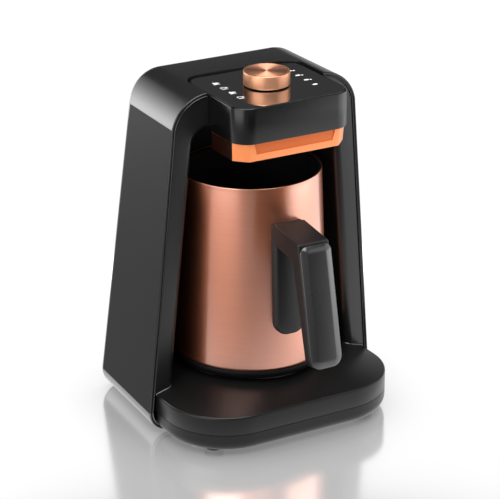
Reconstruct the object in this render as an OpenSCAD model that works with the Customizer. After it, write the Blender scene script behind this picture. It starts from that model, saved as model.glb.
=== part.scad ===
// Countertop coffee maker with an arched body, a lift-out pot and a rotary control.
// Millimetres. +X right, -Y front, +Z up, origin on the table below the middle of the whole machine.

/* [Body] */
// Height of the arch above the table
body_h = 230; // [224:1:236]
// Width between the arch's sides where they would meet the table
body_w = 171.6; // [169:0.2:176]
// Width between the arch's sides where they would meet its top
top_w = 130.8; // [130:0.2:134]
// Depth of the arch at the table
arch_depth = 80.2; // [79.2:0.5:82.2]
// Depth of the arch at its top
top_depth = 64.2; // [64.2:0.5:67.2]
// How far the arch's front face leans forward by its top
front_lean = 5; // [4:0.5:6]
// How much each side turns in towards the rear, in degrees
plan_taper = 3.5; // [2.8:0.1:3.6]
// Wall of the outer shell
shell_wall = 2.6; // [2.2:0.1:2.8]
// Radius of the arch's upper corners
corner_r = 24.5; // [22:0.5:27]
// Radius that wraps each leg under the base
leg_r = 15; // [14:0.5:16]
// Height of the shell's wrapped feet above the table
shell_floor = 2; // [1.5:0.5:2.5]
// Distance from a side of the arch at the table in to its wrapped foot's edge
lip_in = 19.8; // [18:0.1:20.3]

/* [Front bezel and alcove] */
// Width of a cheek, from the arch's side to the alcove's side
cheek_w = 16.5; // [16:0.5:17]
// Depth of the bezel behind the arch's front face
bezel_depth = 24; // [20:1:28]
// Setback of the bezel behind the shell's front edge
bezel_back = 0.8; // [0.4:0.1:1.4]
// Bevel between a cheek and the alcove
cheek_bevel = 5; // [3:0.5:6]
// Depth of the alcove's ceiling below the arch's top
alcove_drop = 24.5; // [24:0.1:25]
// Radius of the alcove's upper corners
alcove_r = 12; // [9:0.5:14]
// Wall of the alcove's lining
liner_wall = 1.6; // [1.2:0.1:1.8]
// Room between the pot and the alcove's rear wall
back_room = 1.5; // [1.2:0.1:2]

/* [Rear cover] */
// Distance from the shell's edge in to the rear cover's edge
cover_inset = 0.4; // [0.2:0.1:1.5]
// How far the rear cover stands behind the shell
cover_out = 4.8; // [4.4:0.1:5]
// Thickness of the rear cover
cover_t = 2.6; // [2.2:0.1:2.8]
// Number of ventilation slots on each side of the rear cover
vent_count = 7; // [4:1:9]

/* [Base] */
// Room between the heater well and the tray's front edge
tray_room = 28.7; // [26:0.1:33]
// Distance from a side of the arch at the table in to the tray's side
tray_in = 6.1; // [5.8:0.1:6.8]
// Radius of the tray's front corners in plan
tray_r = 43; // [38:1:46]
// Height of the tray's edge above the table
tray_top = 27.4; // [27:0.1:28]
// How much the tray's middle rises above its edge
dome_h = 11; // [10:0.5:11.5]
// Wall of the tray and the base cover
base_wall = 2.4; // [2:0.1:2.6]
// Height of the seam between the tray and the base cover
seam_z = 15; // [14:0.5:16]
// Height of the base cover's underside
cover_floor = 3; // [3:0.1:3.4]
// Radius along the base cover's lower edge
hem_r = 7; // [5:0.5:8]
// Gap between the base cover and a wrapped foot of the arch
tub_gap = 2; // [1:0.1:3]
// Radius of a rubber foot
pad_r = 6; // [5:0.5:6.5]

/* [Heater] */
// Height of the heater plate's face above the table
plate_z = 37; // [36.8:0.1:37.4]
// Radius of the heater plate
plate_r = 44.1; // [42:0.1:45]
// Thickness of the heater plate
plate_t = 2.4; // [2:0.1:3]
// Radius of the heating element's ring
element_r = 28; // [27:0.5:30]
// Radius of the heating element's tube
element_tube = 3.2; // [2.8:0.1:3.4]
// Radius of the temperature probe's head
probe_r = 4.9; // [4.5:0.1:5.5]
// Travel of the temperature probe
probe_travel = 1.2; // [0.8:0.1:1.5]

/* [Head] */
// Half the head's width
head_hw = 41.7; // [41:0.1:42.5]
// Distance from the arch's lower front edge to the head's front
head_out = 43.7; // [42:0.1:46]
// Distance from the arch's lower front edge back to the head's rear
head_back = 30.5; // [29:0.5:32]
// Height of the head's sides
head_h = 23.8; // [23.8:0.1:24.8]
// Height of the head's top below the arch's top
head_drop = 1.2; // [0.8:0.1:1.6]
// Radius of the head's corners in plan
head_r = 12.4; // [11:0.1:14]
// Wall of the head
head_wall = 2.4; // [2:0.1:2.6]
// Width of the rim round the glass
glass_rim = 1.1; // [0.9:0.1:1.5]
// Thickness of the glass
glass_t = 1.6; // [1.2:0.1:2]
// Height of the light band below the head
trim_h = 12.3; // [11:0.1:13]
// How much the light band narrows on each side towards its lower edge
trim_taper = 0.6; // [0.3:0.1:1]
// Size of the straight cut across the light band's front corners
trim_cut = 8; // [7:0.5:9]
// Wall of the light band
trim_wall = 2.5; // [2:0.1:3]

/* [Knob] */
// Radius of the knob
knob_r = 15; // [14:0.5:17]
// Height of the knob
knob_h = 8.9; // [8.5:0.1:10]
// Distance of the knob's axis in front of the arch's lower front edge
knob_y = 5.4; // [4:0.1:7]
// Gap that is left between the pressed knob and the glass
knob_gap = 0.2; // [0.1:0.05:0.4]
// Travel of the knob when it is pressed
press_travel = 0.6; // [0.4:0.05:0.6]
// Radius of the encoder's shaft
shaft_r = 3; // [2.5:0.1:3.2]
// Radial clearance of what turns or slides in a bore
run_gap = 0.05; // [0.03:0.01:0.08]

/* [Pot] */
// Room behind the pot's lower edge, out to the arch's lower rear edge
pot_room_back = 13.9; // [13.4:0.5:14.9]
// Height of the pot's metal above the table, at its lower edge
pot_z0 = 43.5; // [43:0.1:44]
// Room between the pot's rim and the light band
pot_room = 24.2; // [21:0.1:32]
// Radius of the pot at its lower edge
pot_r0 = 51.3; // [51:0.1:51.8]
// Radius of the pot at its rim
pot_r1 = 46.6; // [45:0.1:47.5]
// Wall of the pot
pot_wall = 1; // [0.8:0.1:1.2]
// Thickness of the pot's dark lining
lining = 0.7; // [0.5:0.1:0.9]
// How far the spout's lip stands out of the rim
spout_out = 5; // [4:0.5:6]
// Height of the spout
spout_h = 26; // [20:1:32]

/* [Handle] */
// Half the handle's width
grip_hw = 11.3; // [10:0.1:12.5]
// Distance from the arch's lower front edge to the grip's foremost point
grip_reach = 85; // [83:0.5:87]
// Height of the grip's lower end above the table
grip_z = 62.5; // [58:0.5:66]
// Depth of the arm's outer end below the pot's rim
arm_drop = 27.5; // [26.5:0.1:30.5]
// Lean of the grip's front, in degrees
grip_lean = 12.2; // [11:0.1:13]
// Thickness of the grip at its lower end
grip_t = 9.5; // [9:0.1:11]
// Thickness of the arm between the pad and the grip
arm_t = 13.5; // [12:0.5:15]
// Thickness of the grip's front cover
grip_cover_t = 3.2; // [2.8:0.1:3.6]
// Thickness of the pad on the pot's side
pad_t = 4.5; // [4:0.1:5.5]

/* [Hidden] */
$fn = 64;

seat = 0.1;        // gap between pieces that are seated on each other
proud = 0.004;     // a corner's circle stands this far out of the sloping side that it meets
far = 300;         // reach of cutting tools

black = [0.10, 0.10, 0.11];
shell_grey = [0.20, 0.20, 0.21];
copper = [0.78, 0.50, 0.38];
steel = [0.72, 0.72, 0.74];
board_green = [0.10, 0.36, 0.22];

// ---- what follows the body's height, width and depth ----
head_top = body_h - head_drop;
head_z = head_top - head_h;
trim_z = head_z - trim_h;
alcove_top = body_h - alcove_drop;
pot_z1 = trim_z - pot_room;
pot_y = arch_depth - pot_room_back - pot_r0;
well_r = plate_r + 1.2;
tray_hw = body_w / 2 - tray_in;
lip_x = body_w / 2 - lip_in;
tub_hw = lip_x - tub_gap;

// ---- the arch: its sides lean, its faces lean and it narrows towards the rear ----
side_slope = (body_w - top_w) / 2 / body_h;
side_lean = atan(side_slope);
face_lean = atan(front_lean / body_h);
rear_slope = (arch_depth + front_lean - top_depth) / body_h;
function half_w(z) = body_w / 2 - side_slope * z;
function front_y(z) = -front_lean * z / body_h;
function rear_y(z) = arch_depth - rear_slope * z;
function inner_x(y, z) = half_w(z) - shell_wall - y * tan(plan_taper);

module arch_profile(inset) {
    z1 = body_h - corner_r;
    x1 = half_w(z1) - corner_r / cos(side_lean);
    z2 = shell_floor + leg_r;
    x2 = half_w(z2) - leg_r / cos(side_lean);
    r1 = corner_r - inset;
    r2 = leg_r - inset;
    right = [[x2, z2 - r2], [x2 + r2 * cos(side_lean), z2 + r2 * sin(side_lean)],
        [x1 + r1 * cos(side_lean), z1 + r1 * sin(side_lean)], [x1, z1 + r1]];
    left = [for (i = [3:-1:0]) [-right[i].x, right[i].y]];
    polygon(concat(right, left));
    for (s = [-1, 1]) {
        translate([s * x1, z1]) circle(r1 + proud, $fn = 96);
        translate([s * x2, z2]) circle(r2 + proud);
    }
}

// Everything between the arch's front and rear faces, each moved back by its own offset.
module face_band(front_off, rear_off) {
    low = -20;
    high = body_h + 30;
    translate([-far / 2, 0, 0]) rotate([90, 0, 90]) linear_extrude(far)
        polygon([[front_y(low) + front_off, low], [rear_y(low) + rear_off, low],
            [rear_y(high) + rear_off, high], [front_y(high) + front_off, high]]);
}

module arch_solid(inset, front_off, rear_off) {
    intersection() {
        union() for (s = [-1, 1]) intersection() {
            rotate([0, 0, s * plan_taper]) translate([0, far / 2, 0]) rotate([90, 0, 0])
                linear_extrude(far) arch_profile(inset);
            translate([s > 0 ? 0 : -far, -far / 2, -far / 2]) cube([far, far, 2 * far]);
        }
        face_band(front_off, rear_off);
    }
}

// Plate with round front corners (radius rf) and round rear corners (radius rr).
module plate(hw, y0, y1, rf, rr) {
    for (s = [-1, 1]) {
        translate([s * (hw - rf), y0 + rf]) circle(rf);
        translate([s * (hw - rr), y1 - rr]) circle(rr);
    }
    polygon([[-(hw - rf), y0], [hw - rf, y0], [hw, y0 + rf], [hw, y1 - rr],
        [hw - rr, y1], [-(hw - rr), y1], [-hw, y1 - rr], [-hw, y0 + rf]]);
}

module tube(r_out, r_in, z0, z1) {
    translate([0, 0, z0]) difference() {
        cylinder(r = r_out, h = z1 - z0);
        translate([0, 0, -1]) cylinder(r = r_in, h = z1 - z0 + 2);
    }
}

module disc(r, z0, z1) {
    translate([0, 0, z0]) cylinder(r = r, h = z1 - z0);
}

module block(x0, x1, y0, y1, z0, z1) {
    translate([x0, y0, z0]) cube([x1 - x0, y1 - y0, z1 - z0]);
}

// Pan-head screw whose head starts at z = 0 and whose shank runs up.
module screw(head_r, head_h, shank_r, length) {
    disc(head_r, 0, head_h);
    disc(shank_r, head_h - 0.5, head_h + length);
}

// ---- alcove ----
function alcove_x(z) = half_w(z) - cheek_w;
module alcove_profile(grow) {
    z1 = alcove_top - alcove_r;
    x1 = alcove_x(z1) - alcove_r / cos(side_lean);
    r = alcove_r + grow;
    xb = alcove_x(-10) + grow / cos(side_lean);
    xt = [x1 + r * cos(side_lean), z1 + r * sin(side_lean)];
    polygon([[-xb, -10], [xb, -10], xt, [x1, z1 + r], [-x1, z1 + r], [-xt.x, xt.y]]);
    for (s = [-1, 1]) translate([s * x1, z1]) circle(r + proud);
}
module along_y(y0, y1) {
    translate([0, y1, 0]) rotate([90, 0, 0]) linear_extrude(y1 - y0) children();
}

// ---- pot: radius of its cone at a height, and the alcove's rear wall that follows it ----
pot_slope = (pot_r0 - pot_r1) / (pot_z1 - pot_z0);
function pot_r(z) = pot_r0 - pot_slope * (z - pot_z0);
function back_y(z) = pot_y + pot_r(z) + back_room;
module back_band(wall) {
    translate([-far / 2, 0, 0]) rotate([90, 0, 90]) linear_extrude(far)
        polygon([[bezel_depth + seat, 0], [back_y(0) + wall, 0],
            [back_y(body_h) + wall, body_h], [bezel_depth + seat, body_h]]);
}

// ---- tray ----
tray_front = pot_y - well_r - tray_room;
tray_rear = back_y(tray_top) - 0.4;
tray_mid = (tray_front + tray_rear) / 2;
tray_rear_r = 12;
tray_rear_hw = inner_x(tray_rear, tray_top) - 0.6;
function dome_z(s) = tray_top + dome_h * (1 - s * s);
function side_share(x) = x / tray_hw;
function arc(cx, cy, r, a0, a1, n) = [for (i = [0:n]) let (a = a0 + (a1 - a0) * i / n)
    [cx + r * cos(a), cy + r * sin(a)]];
function tray_outline(d) = concat(
    [[-(tray_hw - d), 0]],
    arc(-(tray_hw - tray_r), tray_front + tray_r, tray_r - d, 180, 270, 14),
    arc(tray_hw - tray_r, tray_front + tray_r, tray_r - d, 270, 360, 14),
    [[tray_hw - d, 0]],
    arc(tray_rear_hw - tray_rear_r, tray_rear - tray_rear_r, tray_rear_r - d, 0, 90, 5),
    arc(tray_rear_r - tray_rear_hw, tray_rear - tray_rear_r, tray_rear_r - d, 90, 180, 5));
function tray_ring(d, s, z) = [for (p = tray_outline(d)) [p.x * s, tray_mid + (p.y - tray_mid) * s, z]];

module ring_solid(rings, top, bottom) {
    n = len(rings[0]);
    last = len(rings) - 1;
    points = concat([for (ring = rings) for (p = ring) p], [top, bottom]);
    sides = [for (k = [0:last - 1]) for (i = [0:n - 1]) let (j = (i + 1) % n)
        each [[k * n + i, (k + 1) * n + i, (k + 1) * n + j], [k * n + i, (k + 1) * n + j, k * n + j]]];
    caps = [for (i = [0:n - 1]) let (j = (i + 1) % n)
        each [[n * (last + 1), i, j], [n * (last + 1) + 1, last * n + j, last * n + i]]];
    polyhedron(points, concat([for (f = sides) [f[2], f[1], f[0]]], [for (f = caps) [f[2], f[1], f[0]]]));
}

// ---- head ----
glass_z = head_top - glass_t;
ceiling_z = glass_z - 2;
head_front = -head_out;
neck_front = front_y(head_z) - 1;
neck_z = alcove_top + 3;
trim_rear = neck_front - 1;
trim_front = head_front + 2.2;
trim_top_hw = head_hw - 0.6;
recess_hw = trim_top_hw - trim_cut - 1.6;
frame_t = 2;
function trim_hw(z) = trim_top_hw - trim_taper * (head_z - z) / trim_h;
board_z = ceiling_z - 7.1;
board_t = 1.6;
mark_x = head_hw - 14.2;
mark_pitch = 10.7;
mark_y = [for (i = [0:3]) head_front + 23.6 + i * mark_pitch];
frame_post = [for (x = [29.5, -29.5, 14, -14]) [x, abs(x) > 20 ? head_front + 10.2 : trim_rear - 5.8]];
under_post = [for (x = [-22, 22]) for (y = [trim_front + 10.5, trim_rear - 7]) [x, y]];
panel_hw = head_hw - 10.7;
panel_front = head_front + 12.7;
panel_rear = head_back - 5.5;
board_post = [for (x = [11 - panel_hw, panel_hw - 11]) for (y = [panel_front + 4, panel_rear - 4]) [x, y]];
head_thread = 6;
lens_r = 5;
post_r = 3.2;

// ---- heater ----
ledge_r = plate_r - 1.6;
well_floor = 19;
ledge_z = plate_z - plate_t - 1.2;
element_z = plate_z - plate_t - seat - element_tube;
bracket_top = element_z - element_tube - seat;
bracket_t = 1.4;
probe_stem_r = 3;
probe_head_z = plate_z - seat - plate_t - probe_travel - 0.3;

// ---- base ----
foot_spots = [for (s = [-1, 1]) each [[s * (tray_hw - 22.7), tray_front + 22],
    [s * (tray_hw - 29.7), arch_depth - 16]]];
base_posts = [for (s = [-1, 1]) each [[s * (tray_hw - 17.7), tray_front + 37],
    [s * (tray_hw - 27.7), arch_depth - 26]]];
floor_top = cover_floor + base_wall;
pcb_z = floor_top + 3.6;
gland_x = 14 - tub_hw;
gland_z = 12;
gland_r = 6;
gland_end = rear_y(gland_z) + cover_out + 1.1;
cord_r = 3.2;

// ---- rear cover ----
boss_r = 4;
function boss_at(z) = inner_x(rear_y(z), z) - boss_r + 0.8;
rear_thread = 9;
vent_z = body_h * 10 / 23;
rear_boss = [for (z = [45, body_h - 40]) for (s = [-1, 1]) [s * boss_at(z), z]];

// ================= shell, bezel, lining =================
module head_slot(gap, z0) {
    translate([0, 0, z0]) linear_extrude(far)
        plate(head_hw + gap, -far / 4, head_back + gap, head_r, head_r + gap);
}

module outer_shell() color(shell_grey) difference() {
    union() {
        difference() {
            arch_solid(0, 0, 0);
            arch_solid(shell_wall, -5, 5);
        }
        intersection() {
            for (b = rear_boss) translate([b.x, 0, b.y]) along_y(rear_y(b.y) - 14, rear_y(b.y) + 5)
                circle(boss_r);
            arch_solid(shell_wall / 2, 0, 0);
        }
    }
    for (b = rear_boss) translate([b.x, 0, b.y]) along_y(rear_y(b.y) - 12, far / 2) circle(1.3);
    block(-lip_x, lip_x, -20, far / 2, -10, shell_floor + shell_wall + 2);
    head_slot(seat, neck_z);
}

module front_bezel() color(black) difference() {
    intersection() {
        arch_solid(shell_wall + seat, bezel_back, 5);
        block(-far / 2, far / 2, -far / 2, bezel_depth, 0, far);
    }
    along_y(-20, bezel_depth + 5) alcove_profile(0);
    rotate([face_lean, 0, 0]) hull() {
        along_y(bezel_back - 0.5, bezel_back - 0.4) alcove_profile(cheek_bevel + 0.5);
        along_y(bezel_back + cheek_bevel, bezel_back + cheek_bevel + 0.1) alcove_profile(0);
    }
    bezel_foot_cut();
    head_slot(seat, neck_z - seat);
}

// What the cheeks stand on: the tray's sloping shoulders, a little above them.
module bezel_foot_cut() {
    x1 = tray_hw + 2;
    x0 = alcove_x(tray_top) - 3;
    z0 = dome_z(side_share(x0)) + 0.5;
    z1 = dome_z(side_share(x1)) + 0.5;
    along_y(-20, bezel_depth + 5) for (s = [-1, 1])
        polygon([[s * x0, -10], [s * (x1 + 20), -10], [s * (x1 + 20), z1], [s * x1, z1], [s * x0, z0]]);
}

module alcove_liner() color(black) difference() {
    intersection() {
        along_y(bezel_depth + seat, far / 2) alcove_profile(liner_wall);
        back_band(liner_wall);
    }
    intersection() {
        along_y(bezel_depth - 5, far / 2) alcove_profile(0);
        translate([0, -6, 0]) back_band(6);
    }
    z_side = dome_z(side_share(alcove_x(tray_top) - 2)) + 0.5;
    block(-far / 2, far / 2, 0, tray_rear + 0.2, -10, z_side);
    block(-far / 2, far / 2, 0, far / 2, -10, tray_top - 4);
}

vent_x = 24;        // middle of each column of vents
vent_hw = 14;
vent_h = 2.4;
vent_pitch = 7;
module rear_cover() color(shell_grey) difference() {
    union() {
        difference() {
            arch_solid(cover_inset, 0, cover_out);
            face_band(-20, cover_out - cover_t);
        }
        difference() {
            arch_solid(shell_wall + 0.2, 0, cover_out - cover_t);
            arch_solid(shell_wall + 2.2, -20, 20);
            face_band(-20, -5);
            block(-lip_x - 1, lip_x + 1, 0, far, -10, shell_floor + shell_wall + 8);
            for (b = rear_boss) translate([b.x, 0, b.y]) along_y(0, far / 2) circle(boss_r + 0.3);
        }
    }
    for (b = rear_boss) translate([b.x, 0, b.y]) {
        along_y(0, far / 2) circle(1.7);
        along_y(rear_y(b.y) + cover_out - 1.2, far / 2) circle(3.2);
    }
    for (s = [-1, 1]) for (i = [0:vent_count - 1])
        block(s * vent_x - vent_hw, s * vent_x + vent_hw, 0, far / 2, vent_z + i * vent_pitch,
            vent_z + i * vent_pitch + vent_h);
    translate([gland_x, 0, gland_z]) along_y(0, far / 2) circle(gland_r + seat);
}

module rear_screws() color(steel) for (b = rear_boss)
    translate([b.x, rear_y(b.y) + cover_out - 0.3, b.y]) rotate([90, 0, 0])
        screw(2.9, 0.8, 1.25, rear_thread);

// ================= base =================
module base_tray() color(black) {
    share = [0.25, 0.45, 0.6, 0.72, 0.82, 0.9, 0.96, 1];
    edge = 1.2;
    top = [for (s = share) tray_ring(edge, s, dome_z(s))];
    side = [tray_ring(0.35, 1, tray_top - 0.35), tray_ring(0, 1, tray_top - edge),
        tray_ring(0, 1, seam_z + 0.3), tray_ring(base_wall, 1, seam_z + 0.3)];
    below = [for (i = [len(share) - 1:-1:0]) tray_ring(base_wall, share[i], dome_z(share[i]) - base_wall)];
    difference() {
        union() {
            ring_solid(concat(top, side, below), [0, tray_mid, dome_z(0)],
                [0, tray_mid, dome_z(0) - base_wall]);
            for (p = base_posts) translate([p.x, p.y, 0])
                disc(3.6, post_top + seat, dome_z(tray_share(p)) - 1.2);
        }
        translate([0, pot_y, 0]) disc(well_r + seat, 0, far);
        for (p = base_posts) translate([p.x, p.y, 0]) disc(1.55, 0, post_top + base_bite + seat);
        translate([leg_x, harness_y, 0]) disc(harness_r + 0.6, 0, far);
    }
}

module edge_strip(r, z0, z1, fillet) {
    translate([0, z0]) {
        square([r - fillet, z1 - z0]);
        translate([0, fillet]) square([r, z1 - z0 - fillet]);
        intersection() {
            translate([r - fillet, fillet]) circle(fillet);
            square([r, fillet]);
        }
    }
}
module front_tub(d, z0, z1, fillet, y_end) {
    x = tray_hw - tray_r;
    y = tray_front + tray_r;
    r = tray_r - d;
    for (s = [0, 1]) mirror([s, 0, 0]) translate([x, y, 0]) {
        rotate([0, 0, 270]) rotate_extrude(angle = 90) edge_strip(r, z0, z1, fillet);
        translate([0, y_end - y, 0]) rotate([90, 0, 0]) linear_extrude(y_end - y)
            edge_strip(r, z0, z1, fillet);
    }
    translate([-x, y, 0]) rotate([90, 0, 90]) linear_extrude(2 * x)
        mirror([1, 0]) edge_strip(r, z0, z1, fillet);
    block(-x, x, y, y_end, z0, z1);
}

module base_cover() color(black) {
    y_end = front_y(seam_z) - 0.4;
    tub_rear = rear_y(seam_z) - 1.4;
    difference() {
        union() {
            difference() {
                union() {
                    front_tub(0, cover_floor, seam_z, hem_r, y_end);
                    block(-tub_hw, tub_hw, y_end - 5, tub_rear, cover_floor, seam_z);
                }
                front_tub(base_wall, floor_top, seam_z + 1, hem_r - base_wall, y_end - base_wall);
                block(base_wall - tub_hw, tub_hw - base_wall, y_end - 9, tub_rear - base_wall,
                    floor_top, seam_z + 1);
            }
            for (p = base_posts) translate([p.x, p.y, 0]) disc(4, floor_top - 0.5, post_top);
            for (p = pcb_posts) translate([p.x, p.y, 0]) disc(3, floor_top - 0.5, pcb_z - seat / 2);
        }
        for (p = base_posts) translate([p.x, p.y, 0]) {
            disc(1.7, 0, far);
            disc(3.2, 0, cover_floor + 1.6);
        }
        for (p = pcb_posts) translate([p.x, p.y, 0]) disc(1.1, floor_top + 0.6, far);
        for (p = foot_spots) translate([p.x, p.y, 0]) disc(pad_r + seat, 0, cover_floor + 1.2);
        for (i = [-3:3]) block(i * 7 - 1.2, i * 7 + 1.2, 12, 34, 0, floor_top + 1);
        translate([gland_x, 0, gland_z]) along_y(tub_rear - 10, far / 2) circle(gland_r + seat);
    }
}
// The tray's bosses stand on the base cover's posts.
function tray_share(p) = max(abs(p.x) / tray_hw, abs(p.y - tray_mid) / (tray_rear - tray_mid));
post_top = tray_top - base_wall - 0.6;
board_y = tray_front + 8;
board_hw = 38;
board_d = 18;
pcb_posts = [for (x = [4 - board_hw, board_hw - 4]) for (y = [board_y + 3, board_y + board_d - 3]) [x, y]];

base_bite = 3.5;     // how far the base's screws go into the tray's posts
module base_screws() color(steel) for (p = base_posts) translate([p.x, p.y, cover_floor + 0.4])
    screw(2.9, 1.1, 1.5, post_top + base_bite - cover_floor - 1.5);

module rubber_feet() color([0.05, 0.05, 0.05]) for (p = foot_spots) translate([p.x, p.y, 0]) {
    rotate_extrude() polygon([[0, 0], [pad_r - 0.8, 0], [pad_r, 0.8], [pad_r, cover_floor + 1.1],
        [0, cover_floor + 1.1]]);
}

module heater_well() color(black) translate([0, pot_y, 0]) difference() {
    disc(well_r, well_floor, plate_z - 0.6);
    disc(plate_r + seat, ledge_z, far);
    disc(ledge_r, well_floor + 2, far);
    disc(probe_stem_r + 2.4, 0, far);
    for (a = [60, 120]) rotate(a) translate([element_r, 0, 0]) disc(3, 0, far);
    for (a = bracket_angles) rotate(a) translate([bracket_screw_r, 0, 0]) disc(3.4, 0, far);
}
bracket_angles = [0, 180, 270];
bracket_screw_r = 37;

module heater_plate() color(steel) translate([0, pot_y, 0]) difference() {
    disc(plate_r, plate_z - plate_t, plate_z);
    disc(probe_r + run_gap, 0, far);
}

module plate_seal() color([0.35, 0.12, 0.08]) translate([0, pot_y, 0])
    tube(plate_r, ledge_r - 1.5, ledge_z + seat / 2, plate_z - plate_t - seat / 2);

module heating_element() color(steel) translate([0, pot_y, 0]) {
    rotate(130) rotate_extrude(angle = 280) translate([element_r, element_z]) circle(element_tube);
    for (a = [50, 130]) rotate(a) {
        block(element_r - element_tube - 0.3, element_r + element_tube + 0.3, -2.5, 2.5,
            element_z - element_tube - 0.6, element_z + element_tube);
        translate([element_r, 0, 0]) disc(1.6, well_floor + 3, element_z);
    }
}

module element_bracket() color(steel) translate([0, pot_y, 0]) difference() {
    union() {
        disc(element_r + element_tube + 1, bracket_top - bracket_t, bracket_top);
        for (a = bracket_angles) rotate(a) {
            block(20, bracket_screw_r, -5, 5, bracket_top - bracket_t, bracket_top);
            translate([bracket_screw_r, 0, 0]) disc(5, bracket_top - bracket_t, bracket_top);
            translate([bracket_screw_r, 0, 0]) disc(3.2, bracket_top - 0.5, plate_z - plate_t - seat);
        }
    }
    disc(probe_stem_r + run_gap, 0, far);
    for (a = [50, 130]) rotate(a)
        block(element_r - element_tube - 0.8, element_r + element_tube + 8, -3.1, 3.1, 0, far);
}

module thermal_cutout() color([0.85, 0.82, 0.75]) translate([-15, pot_y, 0])
    disc(6, bracket_top + seat, plate_z - plate_t - seat);

module temperature_probe() color(steel) translate([0, pot_y, 0]) {
    disc(probe_r, probe_head_z, plate_z - seat);
    disc(probe_stem_r, bracket_top - bracket_t - 3.2, probe_head_z + 0.5);
    disc(probe_stem_r + 1, bracket_top - bracket_t - 3.2, bracket_top - bracket_t - 1.7);
}

// Round-wire coil spring between two heights.
module coil(mean_r, wire_r, z0, z1, turns) {
    steps = 14;
    sides = 8;
    total = turns * steps;
    rise = z1 - z0 - 2 * wire_r;
    points = [for (i = [0:total]) for (k = [0:sides - 1]) let (a = 360 * i / steps, b = 360 * k / sides,
        r = mean_r + wire_r * cos(b)) [r * cos(a), r * sin(a), z0 + wire_r + rise * i / total
        + wire_r * sin(b)]];
    sides_f = [for (i = [0:total - 1]) for (k = [0:sides - 1]) let (j = (k + 1) % sides, p = i * sides,
        q = p + sides) each [[p + k, q + k, q + j], [p + k, q + j, p + j]]];
    ends = [[for (k = [0:sides - 1]) k], [for (k = [sides - 1:-1:0]) total * sides + k]];
    polyhedron(points, concat(sides_f, ends));
}
module probe_spring() color(steel) translate([0, pot_y, 0])
    coil(probe_stem_r + 0.8, 0.35, bracket_top + seat / 2, probe_head_z - seat / 2, 4);

module power_board() color(board_green) difference() {
    block(-board_hw, board_hw, board_y, board_y + board_d, pcb_z, pcb_z + board_t);
    for (p = pcb_posts) translate([p.x, p.y, 0]) disc(1.4, 0, far);
}
pcb_top = pcb_z + board_t + seat / 2;
module transformer() color([0.85, 0.7, 0.2]) {
    block(9, 29, board_y + 2, board_y + 16, pcb_top, pcb_top + 9);
    block(11, 27, board_y + 4, board_y + 14, pcb_top + 8.5, pcb_top + 10.5);
}
module relay() color([0.1, 0.2, 0.5])
    block(-29, -10, board_y + 3, board_y + 16, pcb_top, pcb_top + 9);
module capacitors() color([0.15, 0.15, 0.3]) for (y = [board_y + 4.5, board_y + 13.5])
    translate([0, y, 0]) disc(3.8, pcb_top, pcb_top + 10);
module terminal_block() color([0.1, 0.5, 0.2]) difference() {
    block(mains_x - 6, mains_x + 6, tray_rear - 10, tray_rear + 1, floor_top + seat / 2, floor_top + 8);
    for (x = [-3, 3]) translate([mains_x + x, tray_rear - 7, 0]) disc(1.8, floor_top + 5, far);
}
mains_x = 26 - tub_hw;

module cable_gland() color([0.06, 0.06, 0.06]) {
    inner_end = rear_y(gland_z) - 8;
    difference() {
        union() {
            translate([gland_x, 0, gland_z]) along_y(inner_end, gland_end) circle(gland_r);
            translate([gland_x, 0, gland_z]) along_y(inner_end, inner_end + 2) circle(gland_r + 0.05);
        }
        translate([gland_x, 0, gland_z]) along_y(0, far / 2) circle(cord_r);
    }
}

// ---- harness: up the right leg, over the alcove, into the head; and from the gland to the board ----
harness_r = 2;
harness_y = arch_depth - 37;
riser_z = neck_z - 8.5;
harness_turn = neck_z + 9;
function harness_x(z) = (alcove_x(z) + liner_wall + inner_x(harness_y, z)) / 2;
low_run = floor_top + 5;
leg_x = alcove_x(tray_top) + liner_wall + harness_r + 1;
head_run = [[board_hw + 2, board_y + 14, pcb_top + harness_r], [tray_hw - 29.7, tray_front + 33, low_run],
    [tray_hw - 27.7, harness_y - 11, low_run], [tray_hw - 23.7, harness_y - 5, 19],
    [leg_x, harness_y, 19], [leg_x, harness_y, 38], [harness_x(riser_z), harness_y, riser_z],
    [harness_x(riser_z) - 8, harness_y, harness_turn], [20, harness_y, harness_turn],
    [20, head_back - 4.5, harness_turn]];
mains_run = [[mains_x, tray_rear - 10.5, floor_top + 3], [mains_x, pot_y + 5, floor_top + 3],
    [mains_x, board_y + board_d + 0.5, floor_top + 3]];

// Cuts each inner corner of a path into two, several times over.
function rounded(p, times) = times == 0 ? p : rounded(concat([p[0]],
    [for (i = [1:len(p) - 2]) each [p[i] + 0.25 * (p[i - 1] - p[i]), p[i] + 0.25 * (p[i + 1] - p[i])]],
    [p[len(p) - 1]]), times - 1);
function unit(v) = v / norm(v);
module hose(path, r) {
    sides = 10;
    n = len(path);
    rings = [for (i = [0:n - 1]) let (t = unit(path[min(i + 1, n - 1)] - path[max(i - 1, 0)]),
        u = unit(cross(t, [1, 1, 1])), v = cross(t, u))
        [for (k = [0:sides - 1]) path[i] + r * (u * cos(360 * k / sides) + v * sin(360 * k / sides))]];
    ring_solid(rings, path[0], path[n - 1]);
}
module wiring_harness() color([0.3, 0.1, 0.1]) {
    hose(rounded(head_run, 2), harness_r);
    hose(rounded(mains_run, 1), harness_r);
}

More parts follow.
